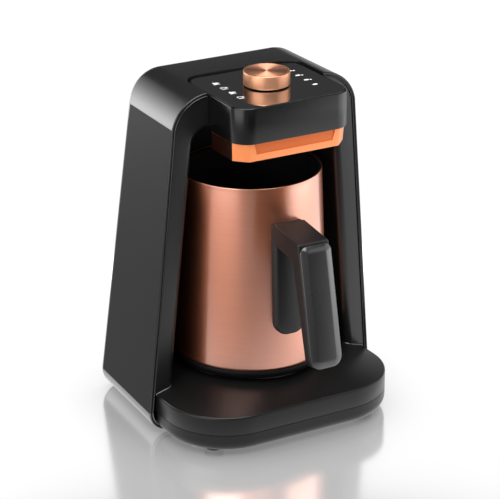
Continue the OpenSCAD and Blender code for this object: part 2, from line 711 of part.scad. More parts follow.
// ================= head =================
module head_plate(inset, y1, z0, z1) {
    translate([0, 0, z0]) linear_extrude(z1 - z0)
        plate(head_hw - inset, head_front + inset, y1 - inset, head_r - inset, head_r - inset);
}
module head_housing() color(shell_grey) difference() {
    union() {
        difference() {
            union() {
                translate([0, 0, head_z]) linear_extrude(head_top - head_z)
                    plate(head_hw, head_front, neck_front, head_r, 1);
                head_plate(0, head_back, neck_z, head_top);
            }
            translate([0, 0, head_z - 1]) linear_extrude(ceiling_z - head_z + 1)
                plate(head_hw - head_wall, head_front + head_wall, neck_front - head_wall,
                    head_r - head_wall, 1);
            head_plate(head_wall, head_back, neck_z + 2, ceiling_z);
        }
        for (p = frame_post) translate([p.x, p.y, 0])
            disc(post_r, head_z + frame_t + 2 * seat, ceiling_z + 0.5);
        for (p = board_post) translate([p.x, p.y, 0]) disc(2.6, board_z + board_t + seat, ceiling_z + 0.5);
    }
    head_plate(glass_rim - seat, head_back, glass_z, far);
    translate([0, -knob_y, 0]) disc(shaft_r + 1.6, 0, far);
    for (s = [-1, 1]) for (y = mark_y) translate([s * mark_x, y, 0]) disc(2.2, ceiling_z - 1, far);
    for (p = frame_post) translate([p.x, p.y, 0]) disc(1.1, 0, ceiling_z - 2);
    for (p = board_post) translate([p.x, p.y, 0]) disc(0.9, 0, ceiling_z - 1);
    translate([20, 0, harness_turn]) along_y(head_back - 5, far / 4) circle(harness_r + 0.5);
}

module head_frame() color(black) difference() {
    translate([0, 0, head_z + seat]) linear_extrude(frame_t)
        plate(head_hw - head_wall - seat, head_front + head_wall + seat, neck_front - head_wall - seat,
            head_r - head_wall - seat, 1);
    for (p = concat(frame_post, under_post)) translate([p.x, p.y, 0]) disc(1.5, 0, far);
    translate([0, (trim_front + trim_rear) / 2, 0]) disc(7, 0, far);
}

module trim_plan(z, inset) {
    hw = trim_hw(z) - inset;
    y0 = trim_front + inset + (head_z - z) * 0.06;
    y1 = trim_rear - inset;
    cut = trim_cut - 0.586 * inset;
    polygon([[cut - hw, y0], [hw - cut, y0], [hw, y0 + cut], [hw, y1], [-hw, y1], [-hw, y0 + cut]]);
}
module trim_form(inset, z0, z1) {
    hull() for (z = [z0, z1]) translate([0, 0, z]) linear_extrude(0.01) trim_plan(z, inset);
}
module light_band() color([0.95, 0.55, 0.25]) difference() {
    trim_form(0, trim_z, head_z - seat);
    trim_form(trim_wall, trim_z - 1, head_z + 1);
    block(-recess_hw, recess_hw, -far / 4, trim_front + 0.9, trim_z + 4.4, head_z + 1);
}

module led_strip() color([0.9, 0.9, 0.85]) {
    y = trim_front + trim_wall + 2.6;
    block(-26, 26, y, y + 1, trim_z + 3.4, head_z);
    for (x = [-20:10:20]) block(x - 1.2, x + 1.2, y - 0.9, y + 0.1, trim_z + 6, trim_z + 8.4);
}

module head_underside() color(black) difference() {
    z0 = trim_z + 0.6;
    z1 = z0 + 1.8;
    union() {
        translate([0, 0, z0]) linear_extrude(z1 - z0) trim_plan(z0, trim_wall + 0.2);
        for (p = under_post) translate([p.x, p.y, 0]) disc(post_r, z1 - 0.5, head_z);
    }
    for (p = under_post) translate([p.x, p.y, 0]) {
        disc(1.5, 0, far);
        disc(2.9, 0, z0 + 1);
    }
    translate([0, (trim_front + trim_rear) / 2, 0]) disc(lens_r, 0, far);
}

module head_screws() color(steel) {
    for (p = frame_post) translate([p.x, p.y, head_z - 1.2])
        screw(2.6, 1.2, 1.05, frame_t + head_thread);
    for (p = under_post) translate([p.x, p.y, trim_z + 0.7])
        screw(2.6, 0.8, 1.4, head_z - trim_z + frame_t);
}

module sensor_lens() color([0.15, 0.05, 0.08]) translate([0, (trim_front + trim_rear) / 2, 0]) {
    disc(lens_r - seat, trim_z + 0.2, trim_z + 3);
    disc(lens_r + 1, trim_z + 2.4 + seat, trim_z + 4);
}

module glass_panel() color([0.04, 0.04, 0.05]) difference() {
    head_plate(glass_rim, head_back, glass_z, head_top);
    translate([0, -knob_y, 0]) disc(shaft_r + 1.6, 0, far);
}

// Plain generic marks: cups on the left, beans on the right.
mark_t = 0.12;
module panel_marks() color("white") {
    for (y = mark_y) translate([-mark_x, y, head_top + 0.01]) linear_extrude(mark_t) {
        polygon([[-1.8, 1.3], [-1.3, -1.4], [1.3, -1.4], [1.8, 1.3]]);
        translate([1.7, 0.4]) square([1.3, 0.8]);
    }
    for (y = mark_y) translate([mark_x, y, head_top + 0.01]) linear_extrude(mark_t) circle(1.5, $fn = 32);
}

module light_pipes() color([0.9, 0.95, 1]) for (s = [-1, 1]) {
    for (y = mark_y) translate([s * mark_x, y, 0]) disc(2, board_z + board_t + 0.6, glass_z - seat);
    block(s * mark_x - 1.2, s * mark_x + 1.2, mark_y[0], mark_y[3], board_z + board_t + 0.6,
        board_z + board_t + 2.4);
}

module control_board() color(board_green) difference() {
    translate([0, 0, board_z]) linear_extrude(board_t)
        plate(panel_hw, panel_front, panel_rear, 2, 2);
    for (p = frame_post) translate([p.x, p.y, 0]) disc(post_r + 0.4, 0, far);
    for (p = board_post) translate([p.x, p.y, 0]) disc(1.2, 0, far);
}

board_bite = 3.5;    // how far the control board's screws go into their posts
module board_screws() color(steel) for (p = board_post)
    translate([p.x, p.y, board_z - 1.2 - seat / 2]) screw(2.2, 1.2, 0.85, board_t + board_bite);

module buzzer() color([0.06, 0.06, 0.06]) translate([8, 6, 0]) difference() {
    disc(6, board_z - 4, board_z - seat / 2);
    disc(1, 0, board_z - 3);
}

// ================= rotary control =================
enc_z = board_z + board_t + seat / 2;
enc_top = ceiling_z - seat;
enc_floor = 0.8;
plunger_z = enc_z + enc_floor + press_travel + 0.5;
knob_z = head_top + press_travel + knob_gap;
knob_top = knob_z + knob_h;
module encoder_housing() color(steel) translate([0, -knob_y, 0]) difference() {
    union() {
        block(-6.5, 6.5, -6.5, 6.5, enc_z, enc_top);
        disc(shaft_r + 1.4, enc_top - 0.5, head_top + 0.05);
    }
    disc(5.2, enc_z + enc_floor, enc_top - 0.8);
    disc(shaft_r + run_gap, enc_top - 1, far);
}
module encoder_plunger() color([0.9, 0.9, 0.88]) translate([0, -knob_y, 0]) difference() {
    disc(5.2 - run_gap, plunger_z, plunger_z + 2.2);
    disc(shaft_r + run_gap, plunger_z + 0.8, far);
}
module tactile_dome() color(steel) translate([0, -knob_y, 0]) rotate_extrude()
    polygon([[0, plunger_z - 0.25], [1.5, plunger_z - 0.25], [4.6, enc_z + enc_floor + 0.05],
        [4.8, enc_z + enc_floor + 0.05], [4.8, enc_z + enc_floor + 0.2], [1.6, plunger_z - 0.05],
        [0, plunger_z - 0.05]]);
module encoder_shaft() color(steel) translate([0, -knob_y, 0])
    disc(shaft_r, plunger_z + 0.8 + run_gap, knob_top - 2);
module knob_core() color(black) translate([0, -knob_y, 0]) difference() {
    disc(knob_r - 1.1, knob_z, knob_top - 1.1);
    disc(shaft_r + run_gap, 0, knob_top - 2 + run_gap);
}
module knob_cap() color(copper) translate([0, -knob_y, 0]) rotate_extrude($fn = 96)
    polygon([[0, knob_top - 1], [knob_r - 1, knob_top - 1], [knob_r - 1, knob_z], [knob_r, knob_z],
        [knob_r, knob_top - 0.5], [knob_r - 0.5, knob_top], [knob_r - 1.4, knob_top],
        [knob_r - 1.8, knob_top - 0.3], [0, knob_top - 0.3]]);

// ================= pot =================
lip_lift = 2;
module spout_form(inset) {
    hull() {
        translate([15 - pot_r1, 0, pot_z1 - 0.5]) cylinder(r = 14 - inset, h = 0.5, $fn = 32);
        translate([5 - pot_r1 - spout_out, 0, pot_z1 + lip_lift - 0.5])
            cylinder(r = 5 - inset, h = 0.5, $fn = 32);
        translate([4.5 - pot_r(pot_z1 - spout_h), 0, pot_z1 - spout_h])
            cylinder(r = 4 - inset, h = 0.5, $fn = 32);
    }
}
module pot_form(inset, z0) {
    rotate_extrude($fn = 128) polygon([[0, z0], [pot_r(z0) - inset, z0], [pot_r1 - inset, pot_z1],
        [0, pot_z1]]);
    spout_form(inset);
}
// The same form, open at its top.
module pot_hollow(inset, z0) {
    pot_form(inset, z0);
    translate([0, 0, 0.4]) spout_form(inset);
    disc(pot_r1 - inset, pot_z1 - 0.1, pot_z1 + 0.5);
}
module pot_body() color(copper) translate([0, pot_y, 0]) difference() {
    pot_form(0, pot_z0);
    pot_hollow(pot_wall, pot_z0 + pot_wall);
}
module pot_lining() color(black) translate([0, pot_y, 0]) difference() {
    pot_form(pot_wall + 0.03, pot_z0 + pot_wall + 0.03);
    pot_hollow(pot_wall + lining, pot_z0 + pot_wall + lining);
}
module pot_base_plate() color(steel) translate([0, pot_y, 0])
    disc(plate_r - 2.1, plate_z + seat, pot_z0 - seat / 2);
module pot_base_ring() color(black) translate([0, pot_y, 0]) rotate_extrude($fn = 96)
    polygon([[plate_r - 2, plate_z + 0.6], [pot_r0 - 2.2, plate_z + 0.6], [pot_r0 - 0.4, plate_z + 2.6],
        [pot_r0 - 0.2, pot_z0 - seat / 2], [plate_r - 2, pot_z0 - seat / 2]]);

// ================= handle =================
arm_z = pot_z1 - arm_drop;   // height of the arm's outer end
grip_len = (arm_z - 0.3 - grip_z) / cos(grip_lean);
arm_slope = 0.125;
// Setback of the leaning grip's face at a height, and of its top edge.
function grip_back(z) = (z - grip_z) * tan(grip_lean);
top_back = grip_back(arm_z);
function arm_top(y) = arm_z + arm_slope * (y + grip_reach - top_back - 1);
pad_low = grip_z + 6;
pad_round = 9;    // radius of the pad's lower corners
pad_h = arm_top(-grip_reach + top_back + 33) - pad_low;

// Shape on the pot's side between two offsets from its cone.
module pot_sleeve(in_off, out_off) {
    z0 = pot_z0;
    z1 = pot_z1;
    translate([0, pot_y, 0]) rotate_extrude($fn = 128) polygon([[pot_r(z0) + in_off, z0],
        [pot_r(z0) + out_off, z0], [pot_r(z1) + out_off, z1], [pot_r(z1) + in_off, z1]]);
}
module handle_pad() color(black) difference() {
    intersection() {
        pot_sleeve(seat, pad_t);
        along_y(-far / 2, pot_y) translate([0, pad_low]) {
            translate([-grip_hw, pad_round]) square([2 * grip_hw, pad_h - pad_round]);
            translate([pad_round - grip_hw, 0]) square([2 * (grip_hw - pad_round), pad_round + 1]);
            for (s = [-1, 1]) translate([s * (grip_hw - pad_round), pad_round]) circle(pad_round);
        }
    }
    for (z = stud_z) translate([0, 0, z]) along_y(-far / 2, pot_y) circle(2 + run_gap);
    translate([0, 0, screw_z]) along_y(-far / 2, pot_y) circle(1.55);
}
stud_z = [pad_low + pad_h * 0.21, pad_low + pad_h * 0.575];
screw_z = arm_z - arm_t / 2 + 2;
module pad_studs() color(steel) for (z = stud_z) translate([0, 0, z])
    along_y(pot_y - pot_r(z) - 4, pot_y - pot_r(z) - 0.15) circle(2);

// Moves to the grip's own frame: its front's lower edge, with +Z up along the leaning front.
module on_grip() {
    translate([0, -grip_reach, grip_z]) rotate([-grip_lean, 0, 0]) children();
}
module grip_outline(low, high) {
    for (s = [-1, 1]) {
        translate([s * (grip_hw - 6), low + 6]) circle(6);
        translate([s * (grip_hw - 4), high - 4]) circle(4);
    }
    polygon([[6 - grip_hw, low], [grip_hw - 6, low], [grip_hw, low + 6], [grip_hw, high - 4],
        [grip_hw - 4, high], [4 - grip_hw, high], [-grip_hw, high - 4], [-grip_hw, low + 6]]);
}
module handle_cover() color([0.14, 0.14, 0.15]) intersection() {
    on_grip() linear_extrude(grip_len) polygon([[-grip_hw, grip_cover_t], [-grip_hw, 1.4],
        [4.2 - grip_hw, 0], [grip_hw - 4.2, 0], [grip_hw, 1.4], [grip_hw, grip_cover_t]]);
    on_grip() along_y(-5, 20) grip_outline(0, grip_len);
}
module handle_body() color(black) difference() {
    y_grip = -grip_reach + top_back + 9.6;
    y_front = -grip_reach + top_back - 2;
    grip_top = arm_top(y_grip) - arm_t;
    rear_low = -grip_reach + grip_t;
    union() {
        intersection() {
            translate([-grip_hw, 0, 0]) rotate([90, 0, 90]) linear_extrude(2 * grip_hw)
                polygon([[-grip_reach - 1, grip_z - 2], [rear_low, grip_z - 2],
                    [rear_low + 0.4, grip_z + 2], [y_grip - 1.5, grip_top - 6],
                    [y_grip + 0.5, grip_top - 1.5], [y_grip + 5, grip_top + 0.6],
                    [y_grip + 5, arm_top(y_grip + 5)], [y_front, arm_top(y_front)]]);
            on_grip() along_y(-5, 40) grip_outline(0, grip_len + 12);
        }
        translate([-grip_hw, 0, 0]) rotate([90, 0, 90]) linear_extrude(2 * grip_hw)
            polygon([[y_grip - 6, grip_top + 6], [y_grip + 4.9, grip_top + 0.6],
                [pot_y - pot_r1, arm_top(pot_y - pot_r1) - arm_t - 1],
                [pot_y - pot_r1, arm_top(pot_y - pot_r1)], [y_grip - 6, arm_top(y_grip - 6)]]);
    }
    on_grip() block(-far / 2, far / 2, -far / 2, grip_cover_t + seat, -20, grip_len + 30);
    translate([0, pot_y, 0]) disc_cone(pad_t + seat);
    translate([0, 0, screw_z]) along_y(-far / 2, pot_y) circle(1.6);
    translate([0, 0, screw_z]) along_y(-far / 2, screw_head_y + 2.2) circle(3.2);
}
module disc_cone(off) {
    rotate_extrude($fn = 128) polygon([[0, 0], [pot_r(0) + off, 0], [pot_r(body_h) + off, body_h],
        [0, body_h]]);
}
// The screw's head sits this far behind the grip's cover.
screw_setback = 4.7;
screw_head_y = -grip_reach + grip_back(screw_z) + grip_cover_t / cos(grip_lean) + screw_setback;
module handle_screw() color(steel) translate([0, 0, screw_z]) {
    along_y(screw_head_y, screw_head_y + 2.1) circle(3);
    along_y(screw_head_y + 1.5, pot_y - pot_r(screw_z) - 0.4) circle(1.5);
}

outer_shell();
front_bezel();
alcove_liner();
rear_cover();
rear_screws();
base_tray();
base_cover();
base_screws();
rubber_feet();
heater_well();
heater_plate();
plate_seal();
heating_element();
element_bracket();
thermal_cutout();
temperature_probe();
probe_spring();
power_board();
transformer();
relay();
capacitors();
terminal_block();
cable_gland();
wiring_harness();
head_housing();
head_frame();
head_underside();
head_screws();
light_band();
led_strip();
sensor_lens();
glass_panel();
panel_marks();
light_pipes();
control_board();
board_screws();
buzzer();
encoder_housing();
encoder_plunger();
tactile_dome();
encoder_shaft();
knob_core();
knob_cap();
pot_body();
pot_lining();
pot_base_plate();
pot_base_ring();
handle_pad();
pad_studs();
handle_body();
handle_cover();
handle_screw();
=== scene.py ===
"""Looks of the countertop coffee maker: an arched body, a domed base, a copper pot and a rotary control."""
from math import asin, atan, atan2, copysign, cos, hypot, pi, radians, sin, sqrt, tan

import bmesh
import bpy
import numpy as np
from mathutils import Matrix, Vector


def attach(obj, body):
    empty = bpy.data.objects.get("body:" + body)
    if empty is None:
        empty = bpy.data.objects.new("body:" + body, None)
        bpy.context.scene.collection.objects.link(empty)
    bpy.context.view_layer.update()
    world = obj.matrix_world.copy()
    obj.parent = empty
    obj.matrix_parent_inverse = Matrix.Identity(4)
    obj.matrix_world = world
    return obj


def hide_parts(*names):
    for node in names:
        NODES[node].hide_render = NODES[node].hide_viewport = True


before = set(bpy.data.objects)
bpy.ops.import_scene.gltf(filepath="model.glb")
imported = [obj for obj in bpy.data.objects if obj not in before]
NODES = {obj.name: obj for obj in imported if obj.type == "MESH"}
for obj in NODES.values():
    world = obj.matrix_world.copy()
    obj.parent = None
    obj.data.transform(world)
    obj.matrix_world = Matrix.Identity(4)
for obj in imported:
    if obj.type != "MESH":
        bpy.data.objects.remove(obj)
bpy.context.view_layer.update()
MM = 0.001

# ---- sizes in millimetres, most as in the part's source ----
BODY_H, BODY_W, TOP_W = 230.0, 171.6, 130.8
ARCH_DEPTH, TOP_DEPTH, FRONT_LEAN, PLAN_TAPER = 80.2, 64.2, 5.0, radians(3.5)
FRONT_R, REAR_R, LEG_R, SHELL_FLOOR, LIP_X = 26.8, 21.5, 14.2, 0.4, 66.0
CREASE_FRONT, CREASE_REAR, REAR_FACET = 208.8, 207.5, radians(10)
SHELL_WALL, COVER_INSET, COVER_OUT = 2.6, 0.4, 4.8
CHEEK_W, BEZEL_DEPTH, BEZEL_BACK = 16.5, 24.0, 0.8
ALCOVE_TOP, ALCOVE_R, BACK_ROOM = 205.5, 12.0, 1.5
TRAY_FRONT, TRAY_HW, TRAY_R, TRAY_TOP, DOME_H, SEAM_Z = -59.0, 79.7, 43.0, 27.4, 11.0, 15.0
TRAY_REAR_R, TRAY_GAP, TRAY_SIDE_GAP = 12.0, 0.4, 0.6
HEAD_HW, HEAD_FRONT, HEAD_BACK, HEAD_Z, HEAD_R = 41.7, -43.7, 30.5, 205.0, 12.4
HEAD_TOP, NECK_Z, NECK_FRONT = 228.8, 208.5, -5.46
POCKET_GAP = 1.0
GLASS_RIM, GLASS_T = 1.1, 1.6
TRIM_Z, TRIM_FRONT, TRIM_REAR, TRIM_HW, TRIM_TAPER, TRIM_CUT = 192.7, -41.5, -6.46, 41.1, 0.6, 8.0
RECESS_HW = 31.5
KNOB_R, KNOB_Y, KNOB_Z, KNOB_TOP = 15.0, -5.4, 229.6, 238.5
POT_Y, POT_Z0, POT_Z1, POT_R0, POT_R1 = 15.0, 43.5, 168.5, 51.3, 46.6
WELL_R = 45.3
GRIP_HW, GRIP_REACH, GRIP_Z, GRIP_LEN, GRIP_LEAN = 11.3, 85.0, 62.5, 80.0, radians(12.2)
COVER_T, PAD_T, ARM_T, GRIP_T = 3.2, 4.5, 13.5, 9.5

SLOPE = (BODY_W - TOP_W) / 2 / BODY_H
LEAN = atan(SLOPE)
RIGHT_ANGLE = radians(90)


def half_w(z):
    """Half the arch's width at a height."""
    return BODY_W / 2 - SLOPE * z


def front_y(z):
    """Where the arch's leaning front face is at a height."""
    return -FRONT_LEAN * z / BODY_H


def rear_y(z):
    """Where the arch's slanted rear edge is at a height."""
    return ARCH_DEPTH - (ARCH_DEPTH + FRONT_LEAN - TOP_DEPTH) / BODY_H * z


def pot_r(z):
    """The pot's outer radius at a height."""
    return POT_R0 - (POT_R0 - POT_R1) * (z - POT_Z0) / (POT_Z1 - POT_Z0)


# ---- mesh helpers ----
def link_mesh(name, verts, faces):
    """A new object from vertices in metres."""
    mesh = bpy.data.meshes.new(name)
    mesh.from_pydata(verts, [], faces)
    obj = bpy.data.objects.new(name, mesh)
    bpy.context.scene.collection.objects.link(obj)
    return obj


def make(name, verts, faces, smooth=True):
    """A new object from vertices in millimetres."""
    obj = link_mesh(name, [(x * MM, y * MM, z * MM) for x, y, z in verts], faces)
    obj.data.validate()
    if smooth:
        shade_smooth(obj)
    return obj


def shade_smooth(obj):
    obj.data.polygons.foreach_set("use_smooth", [True] * len(obj.data.polygons))


def loft(name, rings, cap_first=True, cap_last=True):
    """Skin over closed rings of equal length."""
    n = len(rings[0])
    verts = [tuple(p) for ring in rings for p in ring]
    faces = []
    for k in range(len(rings) - 1):
        for i in range(n):
            j = (i + 1) % n
            faces.append((k * n + i, k * n + j, (k + 1) * n + j, (k + 1) * n + i))
    if cap_first:
        faces.append(tuple(reversed(range(n))))
    if cap_last:
        faces.append(tuple((len(rings) - 1) * n + i for i in range(n)))
    return outward(make(name, verts, faces))


def edited(obj, change):
    """The object, its mesh changed by a function that gets it as a bmesh."""
    bm = bmesh.new()
    bm.from_mesh(obj.data)
    change(bm)
    bm.to_mesh(obj.data)
    bm.free()
    return obj


def outward(obj):
    """Turns every face to the outside."""
    return edited(obj, lambda bm: bmesh.ops.recalc_face_normals(bm, faces=bm.faces))


def prism(name, outline, axis, a, b):
    """Outline extruded from a to b. Its points are (y, z), (x, z) or (x, y) for the axis x, y or z."""
    k = "xyz".index(axis)
    return loft(name, [[(*p[:k], t, *p[k:]) for p in outline] for t in (a, b)])


def boolean(obj, tool, operation="DIFFERENCE"):
    """Cuts the object with a tool, which is used up. The cut's faces take the tool's material."""
    modifier = obj.modifiers.new("cut", "BOOLEAN")
    modifier.object, modifier.operation, modifier.solver = tool, operation, "EXACT"
    modifier.material_mode = "TRANSFER" if tool.data.materials else "INDEX"
    graph = bpy.context.evaluated_depsgraph_get()
    mesh = bpy.data.meshes.new_from_object(obj.evaluated_get(graph))
    obj.modifiers.clear()
    obj.data = mesh
    bpy.data.objects.remove(tool)


def round_edges(obj, width, segments, angle):
    """Rounds every edge sharper than the angle, and keeps broad faces flat in shading."""
    shade_smooth(obj)
    bevel = obj.modifiers.new("edge", "BEVEL")
    bevel.width, bevel.segments = width * MM, segments
    bevel.limit_method, bevel.angle_limit = "ANGLE", radians(angle)
    bevel.miter_outer = "MITER_ARC"
    weighted = obj.modifiers.new("normals", "WEIGHTED_NORMAL")
    weighted.keep_sharp = True


def crisp(obj, angle, chosen=lambda edge: True):
    """Smooth shading with a crease at the chosen edges where faces meet more sharply than the angle."""
    def mark(bm):
        for edge in bm.edges:
            sharp = len(edge.link_faces) == 2 and edge.calc_face_angle(0.0) > radians(angle)
            if sharp and chosen(edge):
                edge.smooth = False

    return edited(obj, mark)


def arc(cx, cy, r, a0, a1, n):
    """Points on a circle from angle a0 to a1, in degrees."""
    turns = [radians(a0 + (a1 - a0) * i / n) for i in range(n + 1)]
    return [(cx + r * cos(a), cy + r * sin(a)) for a in turns]


FINE = (15, 30, 45, 60, 75, 90)


def rounding(*degrees):
    """At each angle of a rounding of radius 1: what it has gained one way and still lacks the other."""
    turns = [radians(a) for a in degrees]
    return [(1 - cos(a), 1 - sin(a)) for a in turns]


def rounded_outline(hw, low, high, low_r, high_r, steps, first=0):
    """A shape about x = 0 with its own roundings below and above, from the first of its four corners."""
    low_steps, high_steps = steps
    quarters = [
        arc(hw - low_r, low + low_r, low_r, 270, 360, low_steps),
        arc(hw - high_r, high - high_r, high_r, 0, 90, high_steps),
        arc(-(hw - high_r), high - high_r, high_r, 90, 180, high_steps),
        arc(-(hw - low_r), low + low_r, low_r, 180, 270, low_steps),
    ]
    return sum(quarters[first:] + quarters[:first], [])


def at_z(outline, z):
    return [(x, y, z) for x, y in outline]


def toward(p, q, d):
    """The point at distance d from p on the way to q."""
    length = hypot(q[0] - p[0], q[1] - p[1])
    return (p[0] + (q[0] - p[0]) * d / length, p[1] + (q[1] - p[1]) * d / length)


def bend(start, corner, end, n=8):
    """A curve from start to end that leans to the corner."""
    points = []
    for i in range(n + 1):
        t = i / n
        u, v, w = (1 - t) ** 2, 2 * t * (1 - t), t * t
        points.append(tuple(u * a + v * b + w * c for a, b, c in zip(start, corner, end)))
    return points


# ---- materials ----
COAT_ROUGH, COPPER_COAT_ROUGH, COPPER_COAT_IOR = 0.1, 0.14, 2.3
SLOW_SHARE = 0.65
GRAIN_DEPTH, BRUSH_DEPTH = 0.0004, 0.0002
COPPER_SHADES, BRUSH_BUMP = (0.90, 1.08), 0.05
ACROSS_THE_RINGS = 0.25  # of a full turn


def new_material(name):
    """A material and its node tree."""
    material = bpy.data.materials.new(name)
    material.use_nodes = True
    return material, material.node_tree


def set_inputs(node, values):
    for key, value in values.items():
        node.inputs[key].default_value = value


def add(tree, kind, inputs=None, **settings):
    """A node. Its inputs are given by name or number, each as another node's output or as a value."""
    node = tree.nodes.new("ShaderNode" + kind)
    for key, value in settings.items():
        setattr(node, key, value)
    for key, source in (inputs or {}).items():
        if isinstance(source, bpy.types.NodeSocket):
            tree.links.new(source, node.inputs[key])
        else:
            node.inputs[key].default_value = source
    return node


def maths(tree, operation, *sources):
    return add(tree, "Math", dict(enumerate(sources)), operation=operation).outputs[0]


def ramp(tree, source, low, high, start=0.0, end=1.0, kind="LINEAR"):
    """Carries a value from the range start to end over to the range low to high."""
    inputs = {"Value": source, "From Min": start, "From Max": end, "To Min": low, "To Max": high}
    return add(tree, "MapRange", inputs, interpolation_type=kind).outputs["Result"]


def noise(tree, place, scale, detail=2.0):
    inputs = {"Vector": place, "Scale": scale, "Detail": detail}
    return add(tree, "TexNoise", inputs).outputs["Fac"]


def paint_grain(tree, tones, colour, shares, spread, bump):
    """Drives the shader's colour and roughness by two tones, and its bump by (height, strength, depth).

    The colour goes from its first share to its second, and the roughness over its spread.
    """
    shader = tree.nodes["Principled BSDF"]
    dark, light = ((*[min(1.0, c * share) for c in colour], 1) for share in shares)
    tint = add(tree, "Mix", {"Factor": tones[0], "A": dark, "B": light}, data_type="RGBA")
    tree.links.new(tint.outputs["Result"], shader.inputs["Base Color"])
    tree.links.new(ramp(tree, tones[1], *spread), shader.inputs["Roughness"])
    height, strength, depth = bump
    if strength:
        lift = add(tree, "Bump", {"Strength": strength, "Distance": depth, "Height": height})
        tree.links.new(lift.outputs["Normal"], shader.inputs["Normal"])


def surface(
    name, colour, rough, metal=0.0, vary=0.12, vary_scale=18.0, rough_vary=0.05, grain=2600.0,
    bump=0.02, stretch=(1.0, 1.0, 1.0), coat=0.0, ior=1.5, emit=0.0, spec=0.5,
):
    """A procedural surface: slow changes of colour and roughness, and a fine grain in the bump."""
    material, tree = new_material(name)
    values = {"Metallic": metal, "IOR": ior, "Specular IOR Level": spec}
    values.update({"Coat Weight": coat, "Coat Roughness": COAT_ROUGH})
    if emit:
        values.update({"Emission Color": (*colour, 1), "Emission Strength": emit})
    set_inputs(tree.nodes["Principled BSDF"], values)
    place = add(tree, "TexCoord").outputs["Object"]
    stretched = add(tree, "Mapping", {"Vector": place, "Scale": stretch}).outputs["Vector"]
    slow = noise(tree, place, vary_scale, 4.0)
    fine = noise(tree, stretched, grain)
    tone = maths(tree, "MULTIPLY_ADD", fine, 1 - SLOW_SHARE, maths(tree, "MULTIPLY", slow, SLOW_SHARE))
    spread = (max(0.0, rough - rough_vary), rough + rough_vary)
    paint_grain(tree, (tone, tone), colour, (1 - vary, 1 + vary), spread, (fine, bump, GRAIN_DEPTH))
    return material


# each surface's name, colour and roughness, then what differs from the usual
SATIN = {"bump": 0.03, "grain": 3200, "vary": 0.06}
SHELL_BLACK = (0.012, 0.012, 0.0125)
shell_paint = surface("satin_shell", SHELL_BLACK, 0.24, rough_vary=0.03, **SATIN)
foot_paint = surface("satin_shell_foot", SHELL_BLACK, 0.22, ior=1.75, spec=0.8, **SATIN)
side_paint = surface("matt_side", SHELL_BLACK, 0.60, rough_vary=0.03, spec=0.1, **{**SATIN, "bump": 0.05})
cheek_paint = surface("satin_cheek", (0.008, 0.008, 0.0085), 0.30, **SATIN)
alcove_paint = surface("matte_alcove", (0.0018, 0.0018, 0.002), 0.5, bump=0.05, grain=2400, spec=0.3)
base_paint = surface("satin_base", (0.0045, 0.0043, 0.0042), 0.37, spec=0.3, **SATIN)
head_paint = surface("satin_head", (0.003, 0.003, 0.0032), 0.25, spec=0.45, **SATIN)
grip_paint = surface("soft_grip", (0.007, 0.007, 0.0075), 0.40, bump=0.06, vary=0.08, spec=0.4)
grip_cover_paint = surface(
    "grip_cover", (0.008, 0.008, 0.0085), 0.26, bump=0.03, grain=3000, vary=0.05, spec=1.0)
black_plastic = surface("inner_plastic", (0.045, 0.045, 0.048), 0.45, bump=0.08)
rubber = surface("foot_rubber", (0.018, 0.018, 0.018), 0.75, bump=0.20, grain=1800)
steel = surface("brushed_steel", (0.56, 0.56, 0.57), 0.30, metal=1.0, stretch=(1, 12, 1), bump=0.15)
zinc = surface("zinc_screw", (0.50, 0.50, 0.52), 0.35, metal=1.0, bump=0.1)
spring_wire = surface("spring_wire", (0.55, 0.55, 0.57), 0.25, metal=1.0, bump=0.05)
element_metal = surface("element_tube", (0.28, 0.26, 0.25), 0.45, metal=1.0, vary=0.3)
silicone = surface("silicone_seal", (0.30, 0.07, 0.04), 0.6, bump=0.1)
board = surface("circuit_board", (0.02, 0.13, 0.07), 0.35, vary=0.3, vary_scale=300, coat=0.3)
component = surface("component_black", (0.03, 0.03, 0.035), 0.4)
relay_blue = surface("relay_case", (0.03, 0.09, 0.30), 0.35)
tape_yellow = surface("transformer_tape", (0.70, 0.52, 0.08), 0.4, vary=0.2)
terminal_green = surface("terminal_case", (0.03, 0.28, 0.10), 0.4)
ceramic = surface("ceramic_body", (0.75, 0.72, 0.66), 0.35)
wire_sleeve = surface("wire_sleeve", (0.20, 0.03, 0.03), 0.6, grain=1500, bump=0.4)
clear_plastic = surface("light_pipe", (0.80, 0.84, 0.88), 0.15)
lens_dark = surface("sensor_window", (0.06, 0.015, 0.025), 0.08, coat=0.5)
mark_white = surface("printed_mark", (0.86, 0.86, 0.86), 0.5, vary=0.03, emit=0.25)
panel_glass = surface(
    "panel_glass", (0.50, 0.50, 0.52), 0.035, metal=1.0, vary=0.03, rough_vary=0.01, bump=0.0)
# the pot's black foot ring, darkened and dulled further as painted shade in the gap under the copper
foot_black_and_shade = surface("pot_foot_black_and_shade", (0.0025, 0.0025, 0.0025), 0.55, bump=0.05, spec=0.15)
pot_dark = surface("pot_lining", (0.012, 0.012, 0.012), 0.35, bump=0.25, grain=1400, vary=0.3)
BAND = {"vary": 0.10, "bump": 0.03}
band_orange = surface("light_band", (0.82, 0.245, 0.075), 0.34, metal=0.25, coat=0.35, emit=0.26, **BAND)
# the band's sides: its orange darkened to near black as painted shade
band_side_shade = surface("light_band_painted_shade", (0.022, 0.006, 0.003), 0.30, metal=0.4, **BAND)
band_recess = surface("light_band_recess", (0.62, 0.135, 0.029), 0.36, metal=0.35, emit=0.22, **BAND)


